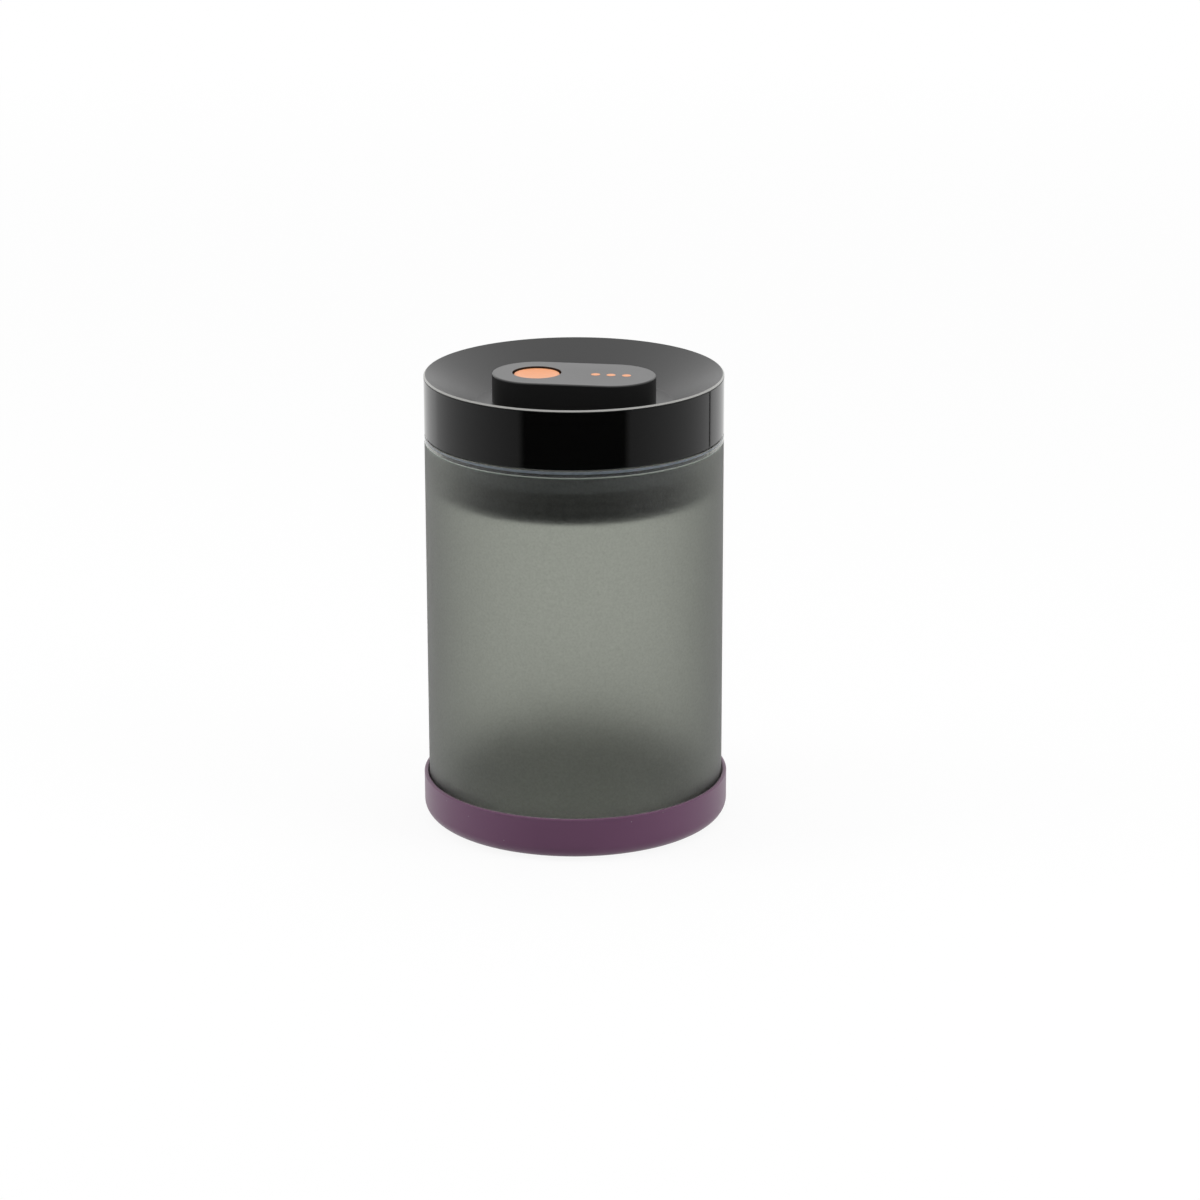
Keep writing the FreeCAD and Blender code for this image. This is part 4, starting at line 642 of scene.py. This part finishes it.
def stands_for(piece, *nodes):
    """Hands a finished piece to the frame: the nodes it replaces and their body."""
    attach(piece, BODIES[nodes[0]])
    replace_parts(piece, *nodes)
    print(piece.name, len(piece.data.polygons), "faces for", ", ".join(nodes))


print("the jar's radius, bottom and top in mm:", [round(size, 2) for size in span("glass_jar")])

# %% [markdown]
# ## The jar
# A straight tumbler of thick glass with a rounded lip, a rounded heel and a shallow hollow under its foot.
# It could be a cylinder with Solidify, but the heel and the inner corner have radii of their own, so its
# section is drawn and turned.

# %% Jar
JAR_WALL, JAR_FLOOR, JAR_HEEL, JAR_CORNER, JAR_LIP = 3.2, 5.0, 4.0, 5.0, 0.5
PUNT_DEPTH, STAND_RING = 1.0, 8.0


def make_jar():
    radius, bottom, top = span("glass_jar")
    inner = radius - JAR_WALL
    punt = radius - JAR_HEEL - STAND_RING
    return turned("jar_glass", [
        (0, bottom + PUNT_DEPTH, 0), (punt - PUNT_DEPTH, bottom + PUNT_DEPTH, PUNT_DEPTH),
        (punt, bottom, PUNT_DEPTH / 2), (radius, bottom, JAR_HEEL), (radius, top, JAR_LIP),
        (inner, top, JAR_LIP), (inner, bottom + JAR_FLOOR, JAR_CORNER), (0, bottom + JAR_FLOOR, 0),
    ], FINISHES["frosted_glass"])


stands_for(make_jar(), "glass_jar")

# %% [markdown]
# ## Rings and rows of a feature
# The feet under the boot and the dots on the grip repeat one shape, and the window in the skirt is one cut.
# An Array modifier could copy a shape, but a tree can also join or cut it in the same step. The first shape
# is drawn where it belongs, and each copy is turned about the axis, or moved along a row. The copies are
# realised, and may then be joined to a base piece or cut out of it.

# %% The repeating tree
def make_repeating_tree(name, operation=None):
    tree, given = new_tree(name, Base="Geometry", Feature="Object", Count="Int", Turn="Float", Step="Vector",
                           Finish="Material")
    shape = add(tree, "GeometryNodeObjectInfo", {"Object": given["Feature"]}).outputs["Geometry"]
    row = add(tree, "GeometryNodeMeshLine", {
        "Count": given["Count"], "Start Location": (0, 0, 0), "Offset": given["Step"]})
    number = add(tree, "GeometryNodeInputIndex")
    angle = add(tree, "ShaderNodeMath", {0: number, 1: given["Turn"]}, operation="MULTIPLY")
    turn = add(tree, "ShaderNodeCombineXYZ", {"Z": angle})
    copies = add(tree, "GeometryNodeInstanceOnPoints", {"Points": row, "Instance": shape, "Rotation": turn})
    result = add(tree, "GeometryNodeRealizeInstances", {"Geometry": copies})
    if operation:
        joined = add(tree, "GeometryNodeMeshBoolean", {"Mesh 2": result}, operation=operation, solver="EXACT")
        tree.links.new(given["Base"], joined.inputs["Mesh 2" if operation == "UNION" else "Mesh 1"])
        result = joined
    painted = add(tree, "GeometryNodeSetMaterial", {"Geometry": result, "Material": given["Finish"]})
    add(tree, "NodeGroupOutput", {"Piece": painted})
    return tree


REPEATING = {
    "ROW": make_repeating_tree("repeated_feature"),
    "UNION": make_repeating_tree("joined_features", "UNION"),
    "DIFFERENCE": make_repeating_tree("cut_features", "DIFFERENCE"),
}


def repeat(base, feature, way, finish, count, turn=0.0, step=(0, 0, 0)):
    """Copies a feature in a ring or row, alone or joined to or cut from the base, and drops the feature."""
    modifier = base.modifiers.new("repeating", "NODES")
    modifier.node_group = REPEATING[way]
    set_inputs(modifier, {"Feature": feature, "Count": count, "Turn": turn, "Step": step, "Finish": finish})
    freeze(base)
    bpy.data.objects.remove(feature)
    return base


print("repeating trees:", ", ".join(REPEATING))

# %% [markdown]
# ### Slot-shaped blocks
# The feet, the window and the grip bar are slots: a straight run with a half circle at each end. Bevels on a
# cube could round them, but their widths would have to agree, so the outline is worked out and lofted.

# %% Slots
SLOT_STEPS, EDGE_STEPS = 48, 6


def slot_outline(half_run, radius, steps):
    """The outline of a slot along X: two half circles of points, anticlockwise."""
    points = []
    for side in (1, -1):
        for number in range(steps + 1):
            angle = math.pi * number / steps - math.pi / 2
            points.append((side * (half_run + radius * math.cos(angle)), side * radius * math.sin(angle)))
    return points


def loft(name, rings):
    """A closed mesh through rings of points in millimetres, with a flat face at each end."""
    count = len(rings[0])
    points = [Vector(point) * MM for ring in rings for point in ring]
    faces = [tuple(reversed(range(count))), tuple(range(len(points) - count, len(points)))]
    for level in range(len(rings) - 1):
        start = level * count
        for place in range(count):
            beside = (place + 1) % count
            faces.append((start + place, start + beside, start + count + beside, start + count + place))
    mesh = bpy.data.meshes.new(name)
    mesh.from_pydata(points, [], faces)
    return new_piece(name, mesh)


def slot_block(name, half_run, radius, low, high, edge=0.0, steps=SLOT_STEPS):
    """A block of slot shape from low to high, its top edge rounded, in millimetres."""
    levels = [(0.0, low), (0.0, high - edge)]
    for number in range(1, EDGE_STEPS + 1 if edge else 1):
        angle = math.pi / 2 * number / EDGE_STEPS
        levels.append((edge * (1 - math.cos(angle)), high - edge + edge * math.sin(angle)))
    return loft(name, [[(x, y, height) for x, y in slot_outline(half_run, radius - inset, steps)]
                       for inset, height in levels])


print("a slot has", 2 * (SLOT_STEPS + 1), "points round it")

# %% [markdown]
# ## The boot
# A thin silicone ring of L section grips the heel of the jar, and raised oblong feet under its flange keep
# it from sliding. The feet could be loose blocks sunk in the ring, but a moulded boot is one piece, so the
# ring is turned and the tree joins the feet to it.

# %% Boot
BOOT_WALL, BOOT_FLOOR, BOOT_FLANGE = 1.4, 2.4, 8.8
BOOT_EDGE, BOOT_RIM = 4.5, 0.5
FOOT_COUNT, FOOT_HEIGHT, FOOT_LENGTH, FOOT_WIDTH = 5, 0.8, 11.0, 2.6


def make_boot():
    radius, bottom, top = span("base_boot")
    inner = radius - BOOT_WALL
    hole = inner - BOOT_FLANGE
    under = bottom + FOOT_HEIGHT
    finish = FINISHES["boot_silicone"]
    boot = turned("boot_ring", [
        (hole, under, BOOT_RIM), (radius, under, BOOT_EDGE), (radius, top, BOOT_RIM), (inner, top, BOOT_RIM),
        (inner, under + BOOT_FLOOR, JAR_HEEL), (hole, under + BOOT_FLOOR, BOOT_RIM),
    ], finish, closed=True, corner_steps=10)
    half_run = (FOOT_LENGTH - FOOT_WIDTH) / 2
    foot = slot_block("foot", half_run, FOOT_WIDTH / 2, bottom, under + BOOT_FLOOR / 2, steps=12)
    foot_ring = (hole + radius - BOOT_EDGE) / 2
    foot.data.transform(Matrix.Translation((0, foot_ring * MM, 0)))
    return repeat(boot, foot, "UNION", finish, FOOT_COUNT, math.tau / FOOT_COUNT)


stands_for(make_boot(), "base_boot")

# %% [markdown]
# ## The skirt of the lid
# A polished black tube with a ledge inside for the dish and a window at the back for the charging plug. Its
# top slopes like the dish, whose rim laps it. The window could be painted on, but the socket sits deep in it,
# so a slot is cut through the wall.

# %% Skirt
SKIRT_WALL, SKIRT_EDGE = 2.6, 0.4
LEDGE_DROP, LEDGE_HEIGHT, LEDGE_DEPTH = 7.0, 1.6, 1.8
WINDOW_GAP = 0.6
OVERRUN = 1.0
DISH_DEPTH, DISH_EDGE, DISH_FLOOR_RADIUS = 10.0, 0.5, 33.0
RIM_RADIUS, RIM_BOTTOM, RIM_TOP = span("lid_dish")
DISH_SLOPE = DISH_DEPTH / (RIM_RADIUS - DISH_EDGE - DISH_FLOOR_RADIUS)


def window_block(name, outer, wall):
    """The slot-shaped bar that cuts the window for the charging plug through a wall at the back."""
    low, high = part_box("charge_socket")
    radius = (high.z - low.z) / 2 / MM + WINDOW_GAP
    half_run = (high.x - low.x) / 2 / MM - (high.z - low.z) / 2 / MM
    bar = slot_block(name, half_run, radius, outer - wall - OVERRUN, outer + OVERRUN, steps=24)
    middle = Vector((0, 0, (low.z + high.z) / 2))
    bar.data.transform(Matrix.Translation(middle) @ Matrix.Rotation(-math.pi / 2, 4, "X"))
    return bar


def make_skirt():
    radius, bottom, top = span("lid_skirt")
    inner = radius - SKIRT_WALL
    ledge = inner - LEDGE_DEPTH
    ledge_top = RIM_TOP - LEDGE_DROP
    finish = FINISHES["gloss_black"]
    skirt = turned("lid_skirt_shell", [
        (radius, bottom, SKIRT_EDGE), (radius, top, 0), (inner, top - SKIRT_WALL * DISH_SLOPE, 0),
        (inner, ledge_top, 0), (ledge, ledge_top, 0), (ledge, ledge_top - LEDGE_HEIGHT, 0),
        (inner, ledge_top - LEDGE_HEIGHT, 0), (inner, bottom, 0),
    ], finish, closed=True)
    return repeat(skirt, window_block("window", radius, SKIRT_WALL), "DIFFERENCE", finish, 1)


stands_for(make_skirt(), "lid_skirt")

# %% [markdown]
# ### Joining and cutting
# The dish is a block with bosses, posts and bores, which a maker would join and mill one after another. The
# Boolean modifier does the same, and round pegs are its tools.

# %% Booleans and pegs
PEG_SIDES = 48


def combine(piece, tool, operation):
    """Joins a tool to a piece or cuts it away, and drops the tool."""
    modifier = piece.modifiers.new(operation.lower(), "BOOLEAN")
    modifier.operation = operation
    modifier.solver = "EXACT"
    modifier.object = tool
    plain_mesh(piece)
    bpy.data.objects.remove(tool)


def pegs(name, places, radius, low, high, sides=PEG_SIDES):
    """Plain round pegs at some places, as one tool, in millimetres."""
    shape = bmesh.new()
    for x, y in places:
        middle = Matrix.Translation((x * MM, y * MM, (low + high) / 2 * MM))
        bmesh.ops.create_cone(shape, cap_ends=True, segments=sides, radius1=radius * MM, radius2=radius * MM,
                              depth=(high - low) * MM, matrix=middle)
    mesh = bpy.data.meshes.new(name)
    shape.to_mesh(mesh)
    shape.free()
    return new_piece(name, mesh)


print("a peg has", PEG_SIDES, "sides")

# %% [markdown]
# ## The dish and its grip
# One satin moulding: a cone that falls from a thin rim to a flat floor, and a hollow bar that stands in it to
# be held by the fingertips. Its faces could be drawn by hand, but booleans find the lines where its forms
# meet. The block is turned, booleans add the bosses and sink the cone, then the bar, a lofted slot with a
# rounded top edge, is joined, hollowed and bored for the button. A narrow chamfer along the rim is painted
# pale grey, a painted highlight that gives the fine pale line round the lid.

# %% Dish
DISH_WALL, DISH_CORNER = 2.0, 0.8
LAP_HEIGHT, RIM_CUT = 0.8, 0.5
GRIP_LENGTH, GRIP_WIDTH, GRIP_DROP, GRIP_EDGE = 55.0, 30.0, 0.4, 0.6
GRIP_REACH = (GRIP_LENGTH - GRIP_WIDTH) / 2
GRIP_TOP = RIM_TOP - GRIP_DROP
JOIN_GAP = 0.1
BUTTON_RADIUS, BUTTON_GAP = 7.7, 0.5
STANDOFF_X, STANDOFF_Y, STANDOFF_RADIUS, STANDOFF_PILOT = 24.4, 10.9, 2.0, 0.95
BOSS_COUNT, BOSS_RADIUS, BOSS_PILOT = 3, 4.0, 1.25
SCREW_HEAD_RADIUS, PILOT_SPARE = 2.4, 1.0


def make_block():
    """The turned block of the dish, before anything is joined or cut."""
    under = RIM_TOP - DISH_DEPTH - DISH_WALL
    inset = RIM_RADIUS - SKIRT_WALL - JOIN_GAP
    ledge = inset + JOIN_GAP - LEDGE_DEPTH
    cone_under = under + (ledge - DISH_FLOOR_RADIUS) * DISH_SLOPE
    seat = RIM_TOP - LEDGE_DROP + JOIN_GAP
    lap = RIM_TOP - LAP_HEIGHT
    return turned("lid_dish_shell", [
        (0, under, 0), (DISH_FLOOR_RADIUS, under, 0), (ledge, cone_under, 0), (ledge, seat, 0),
        (inset, seat, 0), (inset, lap - (RIM_RADIUS - inset) * DISH_SLOPE, 0), (RIM_RADIUS, lap, 0),
        (RIM_RADIUS, RIM_TOP - RIM_CUT, 0), (RIM_RADIUS - RIM_CUT, RIM_TOP, 0), (0, RIM_TOP, 0),
    ], FINISHES["satin_black"])


def join_bosses_and_sink(dish):
    """Joins the bosses for the screws from below, and sinks the cone from above."""
    floor, mouth = RIM_TOP - DISH_DEPTH, RIM_RADIUS - DISH_EDGE
    screw_low, screw_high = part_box("housing_screws")
    ring = -screw_low.y / MM - SCREW_HEAD_RADIUS
    angles = [math.tau * number / BOSS_COUNT - math.pi / 2 for number in range(BOSS_COUNT)]
    places = [(ring * math.cos(angle), ring * math.sin(angle)) for angle in angles]
    pilot_top = screw_high.z / MM + PILOT_SPARE
    combine(dish, pegs("bosses", places, BOSS_RADIUS, RIM_BOTTOM, floor + DISH_DEPTH / 2), "UNION")
    combine(dish, pegs("pilots", places, BOSS_PILOT, RIM_BOTTOM - OVERRUN, pilot_top), "DIFFERENCE")
    combine(dish, turned("sunk", [
        (0, floor, 0), (DISH_FLOOR_RADIUS, floor, DISH_CORNER), (mouth, RIM_TOP, 0),
        (mouth, RIM_TOP + OVERRUN, 0), (0, RIM_TOP + OVERRUN, 0),
    ], FINISHES["satin_black"]), "DIFFERENCE")


def join_grip(dish):
    """Joins the bar, hollows it, and adds the posts for the board and the hole for the button."""
    under = RIM_TOP - DISH_DEPTH - DISH_WALL
    half_width, grip_under = GRIP_WIDTH / 2, GRIP_TOP - DISH_WALL
    combine(dish, slot_block("grip", GRIP_REACH, half_width, under, GRIP_TOP, GRIP_EDGE), "UNION")
    hollow = slot_block("hollow", GRIP_REACH, half_width - DISH_WALL, under - OVERRUN, grip_under)
    combine(dish, hollow, "DIFFERENCE")
    board_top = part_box("circuit_board")[1].z / MM
    places = [(x, y) for x in (-STANDOFF_X, STANDOFF_X) for y in (-STANDOFF_Y, STANDOFF_Y)]
    post_low, post_high = board_top + JOIN_GAP / 2, under + DISH_WALL / 2
    combine(dish, pegs("standoffs", places, STANDOFF_RADIUS, post_low, post_high), "UNION")
    bores = pegs("standoff_pilots", places, STANDOFF_PILOT, board_top - OVERRUN, under + JOIN_GAP)
    combine(dish, bores, "DIFFERENCE")
    hole = pegs("button_hole", [(-GRIP_REACH, 0)], BUTTON_RADIUS + BUTTON_GAP, grip_under - OVERRUN,
                GRIP_TOP + OVERRUN, sides=128)
    combine(dish, hole, "DIFFERENCE")


def make_dish():
    dish = make_block()
    join_bosses_and_sink(dish)
    join_grip(dish)
    freeze(dish, CUT_SHARP)
    dish.data.materials.clear()
    dish.data.materials.append(FINISHES["satin_black"])
    dish.data.materials.append(FINISHES["bright_edge"])
    # The faces of the rim's chamfer take the painted highlight.
    for face in dish.data.polygons:
        reach = Vector((face.center.x, face.center.y, 0)).length
        on_rim_highlight = reach > (RIM_RADIUS - RIM_CUT) * MM and face.center.z > (RIM_TOP - RIM_CUT) * MM
        face.material_index = int(on_rim_highlight)
    return dish


stands_for(make_dish(), "lid_dish")

# %% [markdown]
# ## The button
# A thumb button of matt orange plastic, a little sunk in its hole, with a flat land round a shallow dip. A
# boolean with a sphere could sink the dip, but the button is turned anyway, so its outline takes a few points
# of that large circle.

# %% Button
BUTTON_LAND, BUTTON_DIP, BUTTON_EDGE, BUTTON_CORNER = 0.9, 0.5, 0.3, 0.2
BUTTON_FLANGE, BUTTON_FLANGE_HEIGHT, BUTTON_STEM = 1.3, 1.2, 1.75
DIP_STEPS = 8


def make_button():
    low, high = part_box("power_button")
    stem, top = low.z / MM, high.z / MM
    flange_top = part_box("button_membrane")[1].z / MM
    flange_low = flange_top - BUTTON_FLANGE_HEIGHT
    flange = BUTTON_RADIUS + BUTTON_GAP + BUTTON_FLANGE
    dip_radius = BUTTON_RADIUS - BUTTON_LAND
    sphere = (dip_radius ** 2 + BUTTON_DIP ** 2) / (2 * BUTTON_DIP)
    dip = [dip_radius * (1 - number / DIP_STEPS) for number in range(DIP_STEPS + 1)]
    button = turned("power_button_cap", [
        (0, stem, 0), (BUTTON_STEM, stem, BUTTON_CORNER), (BUTTON_STEM, flange_low, 0),
        (flange, flange_low, BUTTON_CORNER), (flange, flange_top, BUTTON_CORNER),
        (BUTTON_RADIUS, flange_top, 0), (BUTTON_RADIUS, top, BUTTON_EDGE),
        *((reach, top - BUTTON_DIP + sphere - math.sqrt(sphere ** 2 - reach ** 2), 0) for reach in dip),
    ], FINISHES["button_orange"], steps=128)
    button.data.transform(Matrix.Translation((-GRIP_REACH * MM, 0, 0)))
    return button


stands_for(make_button(), "power_button")

# %% [markdown]
# ## Printed dots
# The other end of the grip carries three plain dots in the button's colour, a mark that the pump is charged.
# A material could paint them, but as thin discs of ink they keep a crisp edge in any renderer. One dot is
# drawn, and the repeating tree sets the row.

# %% Dots
DOT_COUNT, DOT_RADIUS, DOT_PITCH, DOT_HEIGHT = 3, 1.5, 5.2, 0.03


def make_dots():
    start = GRIP_REACH - DOT_PITCH * (DOT_COUNT - 1) / 2
    dot = pegs("dot", [(start, 0)], DOT_RADIUS, GRIP_TOP, GRIP_TOP + DOT_HEIGHT)
    dots = new_piece("indicator_dots", bpy.data.meshes.new("indicator_dots"))
    repeat(dots, dot, "ROW", FINISHES["button_orange"], DOT_COUNT, step=(DOT_PITCH * MM, 0, 0))
    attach(dots, "lid")
    print(dots.name, len(dots.data.polygons), "faces")


make_dots()

# %% [markdown]
# ## The seal
# Soft lips wipe the inside of the glass. Three rings could stand for them, but a moulded seal is one piece,
# so its outline climbs from lip to lip in a loop, each lip a wedge with a rounded tip, and is turned.

# %% Seal
SEAL_DEPTH, SEAL_REACH, SEAL_CORNER = 1.8, 2.1, 0.2
SEAL_LIPS, LIP_ROOT, LIP_TIP, LIP_RISE, LIP_ROUND, LIP_FILLET = 3, 2.0, 0.9, 0.8, 0.4, 0.3


def make_seal():
    reach, bottom, top = span("plug_seal")
    wall = reach - SEAL_REACH
    inner = wall - SEAL_DEPTH + JOIN_GAP
    pitch = (top - bottom) / SEAL_LIPS
    corners = [(inner, bottom, 0), (wall, bottom, SEAL_CORNER)]
    for lip in range(SEAL_LIPS):
        foot = bottom + lip * pitch + (pitch - LIP_ROOT - LIP_RISE) / 2
        corners += [(wall, foot, LIP_FILLET), (reach, foot + LIP_RISE, LIP_ROUND),
                    (reach, foot + LIP_RISE + LIP_TIP, LIP_ROUND), (wall, foot + LIP_ROOT, LIP_FILLET)]
    corners += [(wall, top, SEAL_CORNER), (inner, top, 0)]
    return turned("plug_seal_ring", corners, FINISHES["seal_silicone"], closed=True, corner_steps=4)


stands_for(make_seal(), "plug_seal")

# %% [markdown]
# ## The works
# The rest is inside the plug. The construction's own shapes are right there, so each piece is a merged,
# smoothly shaded copy of its node with the finish that its slot names. Three soft pieces wait for the next
# cell, because they don't move as one.

# %% Works
SOFT_NODES = {"button_membrane", "release_spring", "pump_diaphragm"}


def dressed_copy(node):
    """A smooth copy of a node in its own finish."""
    piece = new_piece(node + "_dressed", frame["nodes"][node].data.copy())
    piece.data.materials.clear()
    piece.data.materials.append(FINISHES[SLOTS[node]])
    return freeze(piece, CUT_SHARP, turn_out=False)


done = {node for piece in bpy.context.scene.objects for node in piece.get("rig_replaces", [])}
for node in sorted(set(frame["nodes"]) - done - SOFT_NODES):
    stands_for(dressed_copy(node), node)

# %% [markdown]
# ## Soft pieces between two moving parts
# The spring and the button's membrane each join the lid to a part that moves, but here each is a smooth copy
# of its node that stays where it is. The diaphragm is held by the lid at its rim and by the rod at its pad,
# which no single joint links, so it is turned as two rings that part in the thin web between them.

# %% Soft pieces
PAD_HOLE, PAD_RADIUS, RIM_INNER = 1.1, 3.5, 6.2
WEB_SPLIT, WEB_GAP, WEB_INSET = 4.2, 0.05, 0.3
RUBBER_FILLET, RUBBER_EDGE = 0.2, 0.1


def bends_for(node, mover):
    """A smooth copy of a node in its own finish, on no body, which stands for the node."""
    piece = dressed_copy(node)
    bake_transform(piece)
    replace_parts(piece, node)
    print(piece.name, "bends between", BODIES[node], "and", mover)


def make_diaphragm():
    low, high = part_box("pump_diaphragm")
    bottom, top, outer = low.z / MM, high.z / MM, (high.x - low.x) / 2 / MM
    web_low, web_high, web_start = bottom + WEB_INSET, top - WEB_INSET, WEB_SPLIT + WEB_GAP
    outlines = {
        "pump_diaphragm_rim": [
            (web_start, web_low, 0), (RIM_INNER, web_low, RUBBER_FILLET), (RIM_INNER, bottom, RUBBER_EDGE),
            (outer, bottom, RUBBER_FILLET), (outer, top, RUBBER_FILLET), (RIM_INNER, top, RUBBER_EDGE),
            (RIM_INNER, web_high, RUBBER_FILLET), (web_start, web_high, 0)],
        "pump_diaphragm_pad": [
            (PAD_HOLE, bottom, 0), (PAD_RADIUS, bottom, RUBBER_EDGE), (PAD_RADIUS, web_low, RUBBER_FILLET),
            (WEB_SPLIT, web_low, 0), (WEB_SPLIT, web_high, 0), (PAD_RADIUS, web_high, RUBBER_FILLET),
            (PAD_RADIUS, top, RUBBER_EDGE), (PAD_HOLE, top, 0)],
    }
    finish = FINISHES[SLOTS["pump_diaphragm"]]
    rim, pad = (turned(name, corners, finish, steps=96, corner_steps=3, closed=True)
                for name, corners in outlines.items())
    for piece in (rim, pad):
        piece.data.transform(Matrix.Translation(((low.x + high.x) / 2, (low.y + high.y) / 2, 0)))
    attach(pad, BODIES["connecting_rod"])
    return rim


bends_for("button_membrane", "button")
bends_for("release_spring", "release")
stands_for(make_diaphragm(), "pump_diaphragm")
